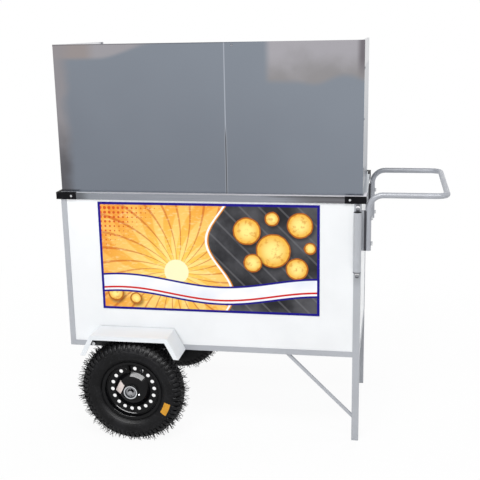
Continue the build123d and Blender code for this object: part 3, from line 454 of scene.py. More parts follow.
def plated(name, colour, roughness):
    """Zinc or brass plate."""
    g = Graph(name, Metallic=1.0)
    g.set("Base Color", spangled(g, colour))
    g.roughen(roughness, 0.12, g.noise(150, 3))
    g.bump(g.noise(700, 2), 0.05, 0.0004, 0.0006)
    return g.material


def bolt_plate(name, heights):
    """Flush screw heads, with a painted highlight along their upper halves."""
    g = Graph(name, Metallic=0.3, Roughness=0.3)
    upper = 0.0
    for height in heights:
        above = g.axis("Z") - height
        upper = upper + above.step(-0.0012, 0.0004) * above.step(0.02, 0.019)
    g.set("Base Color", g.mix(upper.least(1), srgb(150, 152, 158), srgb(246, 246, 248)))
    return g.material


def wheel_places(g):
    """A point's offsets from its wheel's axle in millimetres, and its radius."""
    off_x = g.axis("X") * METRE - WHEEL_X
    off_z = g.axis("Z") * METRE - WHEEL_Z
    return off_x, off_z, distance(off_x, off_z)


def axle_face(name, colour):
    """Turned axle ends, with painted shade in the gaps behind their nuts."""
    g = Graph(name, Metallic=1.0)
    off_x, off_z, radius = wheel_places(g)
    # Painted shade: half a ring above the axle, and a line below it
    gap_shade = radius.step(7.2, 8.2) * radius.step(12.6, 11.8) * off_z.step(0, 3)
    line = (off_z + 9).abs().step(1.9, 1.3) * off_x.abs().step(8, 6)
    g.set("Base Color", g.mix(gap_shade.most(line * 0.7), spangled(g, colour), srgb(16, 16, 18)))
    g.roughen(0.36, 0.1, g.noise(150, 3))
    return g.material


# Plastic, rubber, enamel, iron and paper


def mould(g, tone, roughness):
    """Finish a material as moulded plastic, with a fine spark-eroded grain."""
    g.set("Base Color", tone)
    g.roughen(roughness, 0.1, g.noise(60, 2))
    g.bump(g.noise(900, 3), 0.15, 0.0004, 0.0008)
    return g.material


def plastic(name, colour, roughness, specular):
    """Plain moulded plastic."""
    g = Graph(name, Specular_IOR_Level=specular)
    return mould(g, mottled(g, colour, 0.85, 1.15, 30), roughness)


def cap_plastic(name):
    """Black corner caps, with a painted highlight along the top of the one at the front right."""
    g = Graph(name, Specular_IOR_Level=0.08)
    # Painted highlight along the top of the front right cap
    top_highlight = g.facing("Z").step(0.6, 0.9) * g.axis("X").step(0.0, 0.01) * g.axis("Y").step(0.0, -0.01)
    black = g.mix(g.noise(30, 3).step(0.3, 0.7), srgb(15, 15, 18), srgb(20, 20, 23))
    return mould(g, g.mix(top_highlight, black, srgb(226, 224, 230)), 0.5)


def rubber(name, colour, roughness):
    """Moulded tyre rubber: dull, with faint dusty patches and pale specks."""
    g = Graph(name, Specular_IOR_Level=0.14)
    dust = g.noise(18, 4)
    speck = g.noise(150, 3)
    tone = g.mix(dust.step(0.4, 0.7), scaled(colour, 0.6), scaled(colour, 1.5))
    g.set("Base Color", g.mix(speck.step(0.52, 0.72) * 0.6, tone, scaled(colour, 3.2)))
    g.roughen(roughness, 0.25, dust)
    g.bump(g.noise(420, 4), 0.55, 0.001)
    return g.material


def gloss_black(name):
    """Stove-enamelled wheel: black under a clear gloss that follows the disc's even sweep."""
    g = Graph(name, Specular_IOR_Level=0.16)
    black = srgb(10, 10, 12)
    g.set("Base Color", g.mix(g.noise(24, 3).step(0.35, 0.7), black, scaled(black, 1.4)))
    g.set("Roughness", 0.13 + 0.03 * g.noise(40, 3))
    off_x, off_z, radius = wheel_places(g)
    side = g.axis("Y").sign()
    sine = ((radius - DOME_CENTRE[1]) / DOME_BEND).least((FOOT_CENTRE[1] - radius) / FOOT_BEND)
    sine = sine.least(SLOPE).most(0)
    face = (g.facing("Y") * side).step(0.3, 0.5) * radius.step(WEB_EDGE, WEB_EDGE - 1)
    g.own_normal(face, off_x / radius * sine, side * (1 - sine * sine).sqrt(), off_z / radius * sine)
    return g.material


def cast_iron(name):
    """Sooty burner iron, with rust where the soot is thin."""
    g = Graph(name)
    patches = g.noise(32, 5)
    g.set("Base Color", g.mix(patches.step(0.5, 0.72), srgb(38, 37, 37), srgb(92, 62, 46)))
    g.set("Roughness", 0.6 + 0.3 * patches)
    g.bump(g.noise(300, 4), 0.5, 0.001)
    return g.material


def paper(name, colour):
    """A plain blank sticker."""
    g = Graph(name, Specular_IOR_Level=0.3)
    g.set("Base Color", g.mix(g.noise(90, 3).step(0.35, 0.75), colour, scaled(colour, 0.86)))
    g.set("Roughness", 0.5 + 0.1 * g.noise(50, 2))
    return g.material


# The sign's print: a sun with curled rays, potato rounds, dots and an empty ribbon.
# Places and sizes are in millimetres, across and up from the sign's lower left corner
SUN = (285, 150)
SUN_RADIUS = 45
SUN_RAYS = 15
DOT_PITCH = 17
DOT_RADIUS = 7.5
DOT_SHRINK = 42
DOT_SLANT = 1.3
WAVE_PLACE = 452
WAVE_DEPTH = 46
WAVE_LENGTH = 62
WHITE_BAND = 13
OCHRE_BAND = 5
# Potato rounds: their middles and radii, and how far their shadows are shifted
ROUNDS = (
    (546, 306, 50), (640, 236, 62), (735, 330, 46), (724, 172, 40), (566, 190, 34), (636, 352, 26),
    (770, 248, 22), (52, 62, 30), (128, 44, 22),
)
SHADE_SHIFT = (5, -7)
RIBBON_PLACE = 84
RIBBON_HALF = 28
RIBBON_EDGE = 7
RIBBON_SWAY = 20
RIBBON_LENGTH = 118
LINE_PLACE = 66
LINE_HALF = 3
BORDER = 9
SIGN_BLUE = srgb(20, 8, 130)


def print_sun(g, across, up):
    """A warm ground with a sun whose rays curl."""
    off_x = across - SUN[0]
    off_z = up - SUN[1]
    reach = distance(off_x, off_z)
    turn = g.math("ARCTAN2", off_z, off_x)
    ground = g.mix((reach / 430).least(1), srgb(255, 214, 96), srgb(226, 118, 26))
    ray = (turn * SUN_RAYS + reach / 42).sin().step(-0.25, 0.25)
    ray_tone = g.mix((reach / 380).least(1), srgb(255, 236, 150), srgb(246, 168, 52))
    ground = g.mix(ray * 0.75, ground, ray_tone)
    thin_ray = (turn * (2 * SUN_RAYS) - reach / 30 + 1.1).sin().step(0.8, 0.95)
    ground = g.mix(thin_ray * 0.6, ground, srgb(196, 82, 20))
    fleck = g.noise(55, 4, (1, 1, 2.5)).step(0.5, 0.75)
    ground = g.mix(fleck * 0.35, ground, srgb(255, 246, 190))
    return g.mix(1 - reach.step(SUN_RADIUS - 1, SUN_RADIUS + 1), ground, srgb(255, 243, 196))


def print_dots(g, ground, across, up, height):
    """Dots that shrink away from the upper left corner."""
    off_x, off_z = [((place / DOT_PITCH).fract() - 0.5) * DOT_PITCH for place in (across, up)]
    radius = DOT_RADIUS - (across + (height - up) * DOT_SLANT) / DOT_SHRINK
    dots = 1 - (distance(off_x, off_z) - radius).step(-0.5, 0.5)
    return g.mix(dots * 0.85, ground, srgb(206, 60, 24))


def print_charcoal(g, ground, across, up):
    """A charcoal ground with pinstripes, behind a wavy edge of white and ochre."""
    wave = across - WAVE_PLACE - WAVE_DEPTH * (up / WAVE_LENGTH + 0.4).sin()
    dark = g.mix(g.noise(9, 4).step(0.3, 0.75), srgb(34, 34, 38), srgb(86, 86, 90))
    pin = ((across + up) / 11).sin().step(0.86, 0.98)
    dark = g.mix(pin * 0.3, dark, srgb(128, 128, 132))
    ground = g.mix(wave.step(-WHITE_BAND, 1 - WHITE_BAND), ground, srgb(250, 250, 246))
    ground = g.mix(wave.step(-OCHRE_BAND, 1 - OCHRE_BAND), ground, srgb(214, 132, 28))
    return g.mix(wave.step(0, 1), ground, dark)


def print_rounds(g, ground, across, up):
    """Potato rounds with a browned rim and a soft shadow."""
    crisp = g.noise(70, 4)
    for middle_x, middle_z, size in ROUNDS:
        off_x = across - middle_x
        off_z = up - middle_z
        radius = distance(off_x, off_z) + 5 * (crisp - 0.5)
        reach = distance(off_x - SHADE_SHIFT[0], off_z - SHADE_SHIFT[1])
        shade = 1 - reach.step(size - 6, size + 9)
        ground = g.mix(shade * 0.6, ground, srgb(24, 20, 18))
        flesh = g.mix((radius / size).step(0.2, 1.0), srgb(255, 232, 140), srgb(240, 178, 62))
        flesh = g.mix(crisp.step(0.52, 0.7) * 0.6, flesh, srgb(214, 136, 40))
        flesh = g.mix(radius.step(size - 6, size - 4), flesh, srgb(176, 96, 26))
        ground = g.mix(1 - radius.step(size - 0.8, size + 0.8), ground, flesh)
    return ground


def print_ribbon(g, ground, across, up):
    """An empty white ribbon along the foot, edged in blue, with a red line in it."""
    sway = RIBBON_SWAY * (across / RIBBON_LENGTH + 0.9).sin()
    off_ribbon = (up - RIBBON_PLACE - sway).abs()
    off_line = (up - LINE_PLACE - sway).abs()
    edge = RIBBON_HALF + RIBBON_EDGE
    ground = g.mix(1 - off_ribbon.step(edge, edge + 1), ground, SIGN_BLUE)
    white = g.mix(g.noise(7, 2).step(0.3, 0.8), srgb(250, 250, 252), srgb(226, 232, 242))
    ground = g.mix(1 - off_ribbon.step(RIBBON_HALF, RIBBON_HALF + 1), ground, white)
    return g.mix(1 - off_line.step(LINE_HALF, LINE_HALF + 1), ground, srgb(205, 34, 30))


def sign_print(name):
    """The whole print, in a blue border."""
    g = Graph(name, Specular_IOR_Level=0.2)
    low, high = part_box("sign_panel")
    width = (high.x - low.x) / MM
    height = (high.z - low.z) / MM
    across = (g.axis("X") - low.x) * METRE
    up = (g.axis("Z") - low.z) * METRE
    ground = print_sun(g, across, up)
    ground = print_dots(g, ground, across, up, height)
    ground = print_charcoal(g, ground, across, up)
    ground = print_rounds(g, ground, across, up)
    ground = print_ribbon(g, ground, across, up)
    edge = across.least(width - across).least(up.least(height - up))
    g.set("Base Color", g.mix(1 - edge.step(BORDER - 0.4, BORDER + 0.4), ground, SIGN_BLUE))
    g.set("Roughness", 0.42 + 0.1 * g.noise(20, 2))
    return g.material


# The materials in use. Places and lengths on the cart are in metres
FRAME_GREY = srgb(176, 179, 185)
SEAM_SHIFT = 0.0037
SOCKET_SCREWS = (0.872, 0.633)
# Where the packing strip's painted shade begins along X
PACKING_SHADE_X = 0.4108
front_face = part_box("front_left_upright")[0].y
guard_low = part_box("guard_left_sheet")[0]
lap_low, guard_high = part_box("guard_right_sheet")
worktop_low, worktop_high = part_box("worktop")
pole_mount = next(mount for mount in frame["record"]["mounts"] if mount["name"] == "pole_socket")

guard_material = guard_steel("guard_steel", lap_low.x + SEAM_SHIFT, guard_low, guard_high)
wing_material = wing_steel("wing_steel", guard_low, guard_high)
bearing_material = plated("bearing_shield", srgb(112, 114, 118), 0.4)
fender_material = fender_paint("fender_paint", srgb(230, 234, 238), -front_face)
yellow_paper = paper("yellow_paper", srgb(214, 152, 40))
white_paper = paper("white_paper", srgb(226, 214, 210))

slot_material = {
    "painted_frame": paint("frame_paint", FRAME_GREY, 0.36),
    "white_panel": paint("panel_paint", srgb(240, 242, 244), 0.38),
    "stainless": sheet_steel("steel_sheet", srgb(176, 183, 190), 0.24),
    "zinc": plated("zinc_plate", srgb(206, 208, 211), 0.26),
    "black_plastic": plastic("knob_plastic", srgb(16, 16, 19), 0.45, specular=0.2),
    "grey_plastic": plastic("foot_plastic", srgb(168, 171, 176), 0.5, specular=0.4),
    "sign_print": sign_print("sign_print"),
    "tyre": rubber("tyre_rubber", srgb(17, 17, 19), 0.46),
    "black_rim": gloss_black("wheel_enamel"),
    "valve_rubber": rubber("valve_rubber", srgb(20, 20, 21), 0.6),
    "brass": plated("valve_brass", srgb(206, 170, 96), 0.28),
    "burner_iron": cast_iron("burner_iron"),
}
own_material = {
    "worktop": worktop_steel("worktop_steel", worktop_low, worktop_high, guard_low.y),
    "guard_left_sheet": guard_material,
    "guard_right_sheet": guard_material,
    "guard_left_wing": wing_material,
    "guard_right_wing": wing_material,
    "guard_rivets": plated("rivet_steel", srgb(158, 161, 168), 0.45),
    "corner_caps": cap_plastic("cap_plastic"),
    "push_handle": paint("handle_paint", srgb(168, 171, 178), 0.36, specular=0.3),
    "handle_packing": packing_strip("packing_strip", FRAME_GREY, PACKING_SHADE_X),
    "pole_socket": socket_paint("socket_paint", FRAME_GREY, pole_mount),
    "pole_socket_bolts": bolt_plate("screw_plate", SOCKET_SCREWS),
    "front_fender": fender_material,
    "rear_fender": fender_material,
    "axle": axle_face("axle_steel", srgb(168, 169, 172)),
    "axle_fittings": axle_face("axle_plate", srgb(150, 151, 154)),
    "front_bearings": bearing_material,
    "rear_bearings": bearing_material,
}


def coat(piece, material):
    """Give a piece one material."""
    piece.data.materials.clear()
    piece.data.materials.append(material)


slot_of = {row["node"]: row["material_slot"] for row in frame["record"]["subparts"]}
for name, piece in nodes.items():
    coat(piece, own_material.get(name, slot_material[slot_of[name]]))


# Fine pieces. All of them are on the wheels, and are glossy like the rims and the handle
glossy_pieces = [nodes[name] for name in ("front_rim", "rear_rim", "push_handle")]


# Edges that turn by more than this stay sharp, on small pieces and on what is swept round, in radians
SMOOTH_ANGLE = 0.6
SWEPT_ANGLE = 0.5


def add_mesh(name, build, material, body, smooth_angle=SMOOTH_ANGLE):
    """Turn a bmesh into a named piece that rides on a body."""
    bmesh.ops.recalc_face_normals(build, faces=build.faces)
    for edge in build.edges:
        sharp = len(edge.link_faces) != 2 or edge.calc_face_angle(0) > smooth_angle
        edge.smooth = not sharp
    for face in build.faces:
        face.smooth = True
    mesh = bpy.data.meshes.new(name)
    build.to_mesh(mesh)
    build.free()
    piece = bpy.data.objects.new(name, mesh)
    bpy.context.scene.collection.objects.link(piece)
    coat(piece, material)
    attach(piece, body)
    glossy_pieces.append(piece)
    return piece


def skin(build, rings, closed_run=False):
    """Faces between rings of points, with the ends capped unless the run closes on itself."""
    made = [[build.verts.new(point) for point in ring] for ring in rings]
    count = len(made[0])
    runs = list(zip(made, made[1:]))
    if closed_run:
        runs.append((made[-1], made[0]))
    for ring, after in runs:
        for index in range(count):
            following = (index + 1) % count
            build.faces.new((ring[index], ring[following], after[following], after[index]))
    if not closed_run:
        build.faces.new(made[0][::-1])
        build.faces.new(made[-1])


def wheel_point(side, out, radius, angle):
    """A place on a wheel: side -1 is the front one, out is towards its outer face, angle 0 points at +X."""
    x = WHEEL_X + radius * math.cos(angle)
    z = WHEEL_Z + radius * math.sin(angle)
    return Vector((x * MM, side * (WHEEL_Y + out) * MM, z * MM))


WHEEL_STEPS = 192


def sweep_round(build, side, section):
    """Sweep a closed section round a wheel's axle."""
    rings = []
    for step in range(WHEEL_STEPS):
        angle = 2 * math.pi * step / WHEEL_STEPS
        rings.append([wheel_point(side, out, radius, angle) for out, radius in section])
    skin(build, rings, closed_run=True)


# The tyres' outline, in millimetres out from the wheel's middle plane and from its axle
BEAD = (24.4, 114.5)
BEAD_FOOT = 104.6
BEAD_CHAMFER = 2.5
BELLY = (44, 145.2)
SHOULDER = (33, 172)
CROWN = (0, 186)
CROWN_BEND = 45.89
RUBBER_WALL = 7
WALL_STEPS = 40
CROWN_STEPS = 16
# Moulded rings on the sidewall: radius, half width and rise
WALL_RINGS = ((119, 2.2, 1.1), (126, 1.2, 0.6), (149, 1.0, 0.5), (155, 1.6, 0.7))


def arc_through(first, middle, last, count):
    """Points along the arc through three points."""
    (ax, ay), (bx, by), (cx, cy) = first, middle, last
    d = 2 * (ax * (by - cy) + bx * (cy - ay) + cx * (ay - by))
    a2, b2, c2 = ax * ax + ay * ay, bx * bx + by * by, cx * cx + cy * cy
    ox = (a2 * (by - cy) + b2 * (cy - ay) + c2 * (ay - by)) / d
    oy = (a2 * (cx - bx) + b2 * (ax - cx) + c2 * (bx - ax)) / d
    radius = math.hypot(ax - ox, ay - oy)
    start = math.atan2(ay - oy, ax - ox)
    end = math.atan2(cy - oy, cx - ox)
    sweep = (end - start + math.pi) % (2 * math.pi) - math.pi
    arc = []
    for step in range(count + 1):
        angle = start + sweep * step / count
        arc.append((ox + radius * math.cos(angle), oy + radius * math.sin(angle)))
    return arc


def ring_bulge(radius):
    """How far the moulded rings stand out of the sidewall."""
    bulge = 0.0
    for middle, half, rise in WALL_RINGS:
        bulge += rise * max(0.0, 1 - abs(radius - middle) / half)
    return bulge


def tyre_wall_points():
    """The outer half of the tyre's section, from the bead to the crown."""
    wall = arc_through(BEAD, BELLY, SHOULDER, WALL_STEPS)
    wall = [(out + ring_bulge(radius), radius) for out, radius in wall]
    crown = arc_through(SHOULDER, CROWN, (-SHOULDER[0], SHOULDER[1]), CROWN_STEPS)
    return wall + crown[1:CROWN_STEPS // 2 + 1]


def wall_out(radius):
    """The sidewall's outward place at a radius."""
    wall = [point for point in tyre_wall_points() if point[1] <= SHOULDER[1]]
    for (low_out, low), (high_out, high) in zip(wall, wall[1:]):
        if low <= radius <= high:
            return low_out + (high_out - low_out) * (radius - low) / (high - low)
    return wall[-1][0]


def tyre_section():
    """The whole section of the tyre as one closed loop."""
    outer = tyre_wall_points()
    loop = outer + [(-out, radius) for out, radius in reversed(outer[:-1])]
    bead_in = BEAD[0] - RUBBER_WALL
    half = [
        (BEAD[0], BEAD_FOOT + BEAD_CHAMFER),
        (BEAD[0] - BEAD_CHAMFER, BEAD_FOOT),
        (bead_in, BEAD_FOOT),
        (bead_in, BEAD[1]),
        (BELLY[0] - RUBBER_WALL, BELLY[1]),
        (SHOULDER[0] - RUBBER_WALL, SHOULDER[1] - RUBBER_WALL),
    ]
    inner = [(-out, radius) for out, radius in half] + [(0, CROWN[1] - RUBBER_WALL)] + half[::-1]
    return loop + inner


# Tread blocks: counts, sizes in millimetres, and turns from the crown's middle in degrees
LUG_COUNT = 60
LUG_SHARE = 0.64
LUG_RISE = 6
LUG_ROOT = -3
LUG_STEPS = 3
MIDDLE_LUG = (-9, 9)
MIDDLE_SKEW = 0.2
SIDE_LUG = (12, 28)
SIDE_SKEW = 0.25
SHOULDER_LUG = (51, 45, 38, 31)
SHOULDER_ROOT = 46
SHOULDER_EDGE = (42.4, 167)
SHOULDER_FEET = (162, 157)
# How far a shoulder block's foot is sunk in the sidewall and stands out of it, and how high it is cut
SHOULDER_SUNK = 3
SHOULDER_PROUD = 1
SHOULDER_CUT = 1.5
# Where a block's cross-sections stand along it, and their size, smaller at its chamfered ends
LUG_CUTS = ((-0.5, 0.88), (-0.4, 1.0), (0.4, 1.0), (0.5, 0.88))


def crown_place(row, turn, lift):
    """A place at a turn in degrees from the crown's middle, lifted off the round crown."""
    reach = CROWN_BEND + lift
    turn = math.radians(turn)
    return row * reach * math.sin(turn), CROWN[1] - CROWN_BEND + reach * math.cos(turn)


def block_section(row, first, last):
    """The section of a tread block between two turns."""
    turns = [first + (last - first) * step / LUG_STEPS for step in range(LUG_STEPS + 1)]
    tops = [crown_place(row, turn, LUG_RISE) for turn in turns]
    return tops + [crown_place(row, last, LUG_ROOT), crown_place(row, first, LUG_ROOT)]


def shoulder_section(row, foot):
    """The section of a shoulder block that runs down the sidewall to its foot."""
    side = wall_out(foot)
    edge_out, edge_radius = SHOULDER_EDGE
    ends = [
        (row * (side - SHOULDER_SUNK), foot),
        (row * (side + SHOULDER_PROUD), foot + SHOULDER_CUT),
        (row * edge_out, edge_radius),
    ]
    tops = [crown_place(row, turn, LUG_RISE) for turn in SHOULDER_LUG]
    roots = [crown_place(row, turn, LUG_ROOT) for turn in (SHOULDER_LUG[-1], SHOULDER_ROOT)]
    return ends + tops + roots


def add_lug(build, side, section, angle, skew=0.0):
    """One tread block: a section swept over a small angle, with its end edges chamfered."""
    width = 2 * math.pi / LUG_COUNT * LUG_SHARE
    middle_out = sum(out for out, radius in section) / len(section)
    middle_radius = sum(radius for out, radius in section) / len(section)
    rings = []
    for share, size in LUG_CUTS:
        ring = []
        for out, radius in section:
            ring_out = middle_out + (out - middle_out) * size
            ring_radius = middle_radius + (radius - middle_radius) * size
            lean = skew * (out - middle_out) / ring_radius
            ring.append(wheel_point(side, ring_out, ring_radius, angle + share * width + lean))
        rings.append(ring)
    skin(build, rings)


def add_lugs(build, side):
    """Five rows of tread blocks, of which the first in the middle row stands on the floor."""
    pitch = 2 * math.pi / LUG_COUNT
    for index in range(LUG_COUNT):
        angle = -math.pi / 2 + index * pitch
        add_lug(build, side, block_section(1, *MIDDLE_LUG), angle, MIDDLE_SKEW)
        for row in (-1, 1):
            row_angle = angle + (pitch / 2 if row > 0 else 0)
            add_lug(build, side, block_section(row, *SIDE_LUG), row_angle, SIDE_SKEW)
            add_lug(build, side, shoulder_section(row, SHOULDER_FEET[index % 2]), row_angle + pitch / 2)


# Rubber hairs: how many, the seeds of their draws, their turns from the crown's middle in degrees, and
# their lengths, radii and roots over the round crown in millimetres
HAIR_COUNT = 760
HAIR_SEEDS = {-1: 11, 1: 23}
HAIR_TURNS = (2, 46)
HAIR_LENGTHS = (7, 24)
HAIR_RADII = (1.1, 1.8)
HAIR_ROOT = LUG_RISE - 1
# Where a hair's cross-sections stand along it, the angles of their corners, and how far it thins
HAIR_SHARES = (-0.1, 0.35, 0.7, 1.0)
HAIR_CORNERS = (0, 2.094, 4.189)
HAIR_TAPER = 0.55
# How far hairs splay from the tread, lean along and across it, and curl, and how much of that they take
HAIR_SPLAY = 0.5
LEAN_ALONG = 0.8
LEAN_ACROSS = 0.2
LEAN_SHARE = 0.7
CURL_ALONG = 0.6
CURL_SHARE = 0.6
# Room for them under a mudguard, with its sheet and a little air taken off, in millimetres, and how many
# of its radii a hair's middle keeps from there
FENDER_SHEET = 1.8
HAIR_CLEAR = 1.1
fender_low, fender_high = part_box("front_fender")
HAIR_REACH = fender_high.z / MM - WHEEL_Z - FENDER_SHEET
HAIR_OUT = -fender_low.y / MM - WHEEL_Y - FENDER_SHEET


def add_hair(build, side, row, turn, angle, length, chance):
    """A hair of rubber left by the mould's vent."""
    out, radius = crown_place(row, turn, HAIR_ROOT)
    base = wheel_point(side, out, radius, angle)
    middle = wheel_point(side, 0, 0, 0)
    radial = Vector((math.cos(angle), 0, math.sin(angle)))
    along = Vector((-math.sin(angle), 0, math.cos(angle)))
    axle = Vector((0, side, 0))
    outward = radial + axle * (row * HAIR_SPLAY * math.sin(math.radians(turn)))
    lean = along * chance.uniform(-LEAN_ALONG, LEAN_ALONG)
    lean += axle * chance.uniform(-LEAN_ACROSS, LEAN_ACROSS)
    curl = along * chance.uniform(-CURL_ALONG, CURL_ALONG)
    thick = chance.uniform(*HAIR_RADII) * MM
    rings = []
    for share in HAIR_SHARES:
        centre = base + (outward + lean * LEAN_SHARE) * (share * length * MM)
        centre += curl * (share**2 * length * MM * CURL_SHARE)
        size = thick * (1 - HAIR_TAPER * max(share, 0))
        clear = HAIR_CLEAR * size
        spoke = Vector((centre.x - middle.x, 0, centre.z - middle.z))
        centre += spoke.normalized() * min(HAIR_REACH * MM - clear - spoke.length, 0)
        centre.z = max(centre.z, clear)
        room = (WHEEL_Y + HAIR_OUT) * MM - clear
        centre.y = max(-room, min(room, centre.y))
        rings.append([centre + size * (along * math.cos(t) + axle * math.sin(t)) for t in HAIR_CORNERS])
    skin(build, rings)


def add_hairs(build, side):
    """Hairs all round a tyre, twice as many on its outer half."""
    chance = random.Random(HAIR_SEEDS[side])
    for index in range(HAIR_COUNT):
        angle = 2 * math.pi * (index + chance.random()) / HAIR_COUNT
        row = -1 if index % 3 == 0 else 1
        turn = chance.uniform(*HAIR_TURNS)
        add_hair(build, side, row, turn, angle, chance.uniform(*HAIR_LENGTHS), chance)


def build_tyre(side, end):
    """A tyre with moulded rings, tread blocks and rubber hairs."""
    build = bmesh.new()
    sweep_round(build, side, tyre_section())
    add_lugs(build, side)
    add_hairs(build, side)
    tyre = add_mesh(f"{end}_tyre_detail", build, slot_material["tyre"], f"{end}_wheel", SWEPT_ANGLE)
    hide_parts(f"{end}_tyre")


# The dish between the disc and the rim: where it starts, and the length, slopes and steps of its runs
DISH_START = (5.35, 87)
DISH_RUNS = ((2.5, 0, 20, 3), (5.5, 20, 36, 4), (9.5, 43, 52, 6))
DISH_LIP = (24.3, 101.7)
DISH_BACK = (4.6, 102.3)


def build_dish(side, end):
    """The hollow sweep of enamelled sheet from the disc up to the rim's lip."""
    out, radius = DISH_START
    section = [(out, radius)]
    for length, first, last, steps in DISH_RUNS:
        for step in range(steps):
            slope = math.radians(first + (last - first) * (step + 0.5) / steps)
            out += length / steps * math.sin(slope)
            radius += length / steps * math.cos(slope)
            section.append((out, radius))
    section += [DISH_LIP, (DISH_LIP[0], DISH_BACK[1]), DISH_BACK, (DISH_BACK[0], DISH_START[1])]
    build = bmesh.new()
    sweep_round(build, side, section)
    add_mesh(f"{end}_rim_dish", build, slot_material["black_rim"], f"{end}_wheel", SWEPT_ANGLE)


def disc_out(radius):
    """The outward place of the wheel disc's outer face at a radius."""
    if radius <= DOME_CENTRE[1]:
        return BOSS_OUT
    if radius >= FOOT_CENTRE[1]:
        return WEB_OUT
    dome_end = DOME_CENTRE[1] + DOME_BEND * SLOPE
    if radius <= dome_end:
        return DOME_CENTRE[0] + math.sqrt(DOME_BEND**2 - (radius - DOME_CENTRE[1]) ** 2)
    if radius >= FOOT_CENTRE[1] - FOOT_BEND * SLOPE:
        return FOOT_CENTRE[0] - math.sqrt(FOOT_BEND**2 - (FOOT_CENTRE[1] - radius) ** 2)
    return DOME_CENTRE[0] + DOME_BEND * SLOPE - (radius - dome_end)


# The grease nipple: where it stands on the disc, and its heights and radii in millimetres
NIPPLE_PLACE = 31.5
NIPPLE_ANGLE = -22
NIPPLE_PROFILE = ((-0.5, 3.6), (2.6, 3.6), (2.6, 2.2), (4.2, 1.8), (5.0, 2.6), (6.2, 2.6), (7.4, 1.4))
NIPPLE_STEPS = 16


def build_nipple(side, end):
    """The grease nipple beside the hub."""
    foot = wheel_point(side, disc_out(NIPPLE_PLACE), NIPPLE_PLACE, math.radians(NIPPLE_ANGLE))
    rings = []
    for height, radius in NIPPLE_PROFILE:
        centre = foot + Vector((0, side * height * MM, 0))
        ring = []
        for step in range(NIPPLE_STEPS):
            t = 2 * math.pi * step / NIPPLE_STEPS
            ring.append(centre + Vector((math.cos(t), 0, math.sin(t))) * (radius * MM))
        rings.append(ring)
    build = bmesh.new()
    skin(build, rings)
    add_mesh(f"{end}_grease_nipple", build, slot_material["zinc"], f"{end}_wheel")


# Stickers lie on what they are stuck to, their two faces a little proud of it, in millimetres
STICKER_FACES = (0.07, 0.35)
STICKER_STEPS = 12
# The tyre's sticker: its middle's radius and angle, its height and the angle that it spans
TYRE_LABEL = (141.5, -23.8)
TYRE_LABEL_HEIGHT = 24
TYRE_LABEL_SPAN = 18.5
# The disc's sticker, along X and along Z: its first corner from the axle, the run of its two sides from
# there, and how much further its far corner lies
DISC_LABEL = ((-43, 17.2, -23.5, 6.3), (-14, 34.6, 6.5, 8.8))


def tyre_label(across, along):
    """A plain oblong on the sidewall."""
    radius, angle = TYRE_LABEL
    radius += (across - 0.5) * TYRE_LABEL_HEIGHT
    return radius, math.radians(angle + (along - 0.5) * TYRE_LABEL_SPAN)


def disc_label(across, along):
    """A plain lozenge that lies over the disc's bend."""
    x, z = [
        corner + wide * across + long * along + spread * across * along
        for corner, wide, long, spread in DISC_LABEL
    ]
    return math.hypot(x, z), math.atan2(z, x)


def build_sticker(name, side, body, surface, outline, material):
    """A thin patch on a wheel. The outline maps two shares to a radius and an angle."""
    build = bmesh.new()
    steps = range(STICKER_STEPS)
    sheets = []
    for rise in STICKER_FACES:
        sheet = {}
        for i in range(STICKER_STEPS + 1):
            for j in range(STICKER_STEPS + 1):
                radius, angle = outline(i / STICKER_STEPS, j / STICKER_STEPS)
                point = wheel_point(side, surface(radius) + rise, radius, angle)
                sheet[i, j] = build.verts.new(point)
        sheets.append(sheet)
    for sheet in sheets:
        for i in steps:
            for j in steps:
                build.faces.new((sheet[i, j], sheet[i + 1, j], sheet[i + 1, j + 1], sheet[i, j + 1]))
    under, over = sheets
    for i in steps:
        rims = [((i, edge), (i + 1, edge)) for edge in (0, STICKER_STEPS)]
        rims += [((edge, i), (edge, i + 1)) for edge in (0, STICKER_STEPS)]
        for start, end in rims:
            build.faces.new((under[start], under[end], over[end], over[start]))
    add_mesh(name, build, material, body)


for wheel_side, wheel_end in ((-1, "front"), (1, "rear")):
    build_tyre(wheel_side, wheel_end)
    build_dish(wheel_side, wheel_end)
    build_nipple(wheel_side, wheel_end)
build_sticker("tyre_sticker", -1, "front_wheel", wall_out, tyre_label, yellow_paper)
build_sticker("disc_sticker", -1, "front_wheel", disc_out, disc_label, white_paper)


# Floor, light and camera. Lengths are in metres and lamps in watts
FLOOR_HALF = 30
FLOOR_GREY = (0.9, 0.9, 0.9)
FLOOR_WHITE = 0.93
FLOOR_FADE = (0.9, 2.6)
WORLD_LIGHT = 0.36
# What the lamps face, and the direction in which the strip for the gloss lies
MIDDLE = (-0.1, 0, 0.7)
FRONT_HUB = (-0.42, -0.4, 0.19)
STRIP_ALONG = (4.42, -0.48, -1.1)

# The photograph's viewpoint, with angles in degrees
CAMERA_PLACE = (0.4993, -3.1933, 1.4784)
CAMERA_YAW = 10.167
CAMERA_PITCH = -13.853
CAMERA_ROLL = 1.091
CAMERA_REACH = 100
FOCAL_PIXELS = 860.2
IMAGE_PIXELS = 480
SENSOR_WIDTH = 36


def seen_white(g):
    """1 for what the camera, a reflection or a see-through ray meets, and 0 for light on other things."""
    rays = ("Is Camera Ray", "Is Glossy Ray", "Is Transmission Ray")
    camera, glossy, through = [g.node("ShaderNodeLightPath", {}, ray) for ray in rays]
    return camera.most(glossy).most(through)


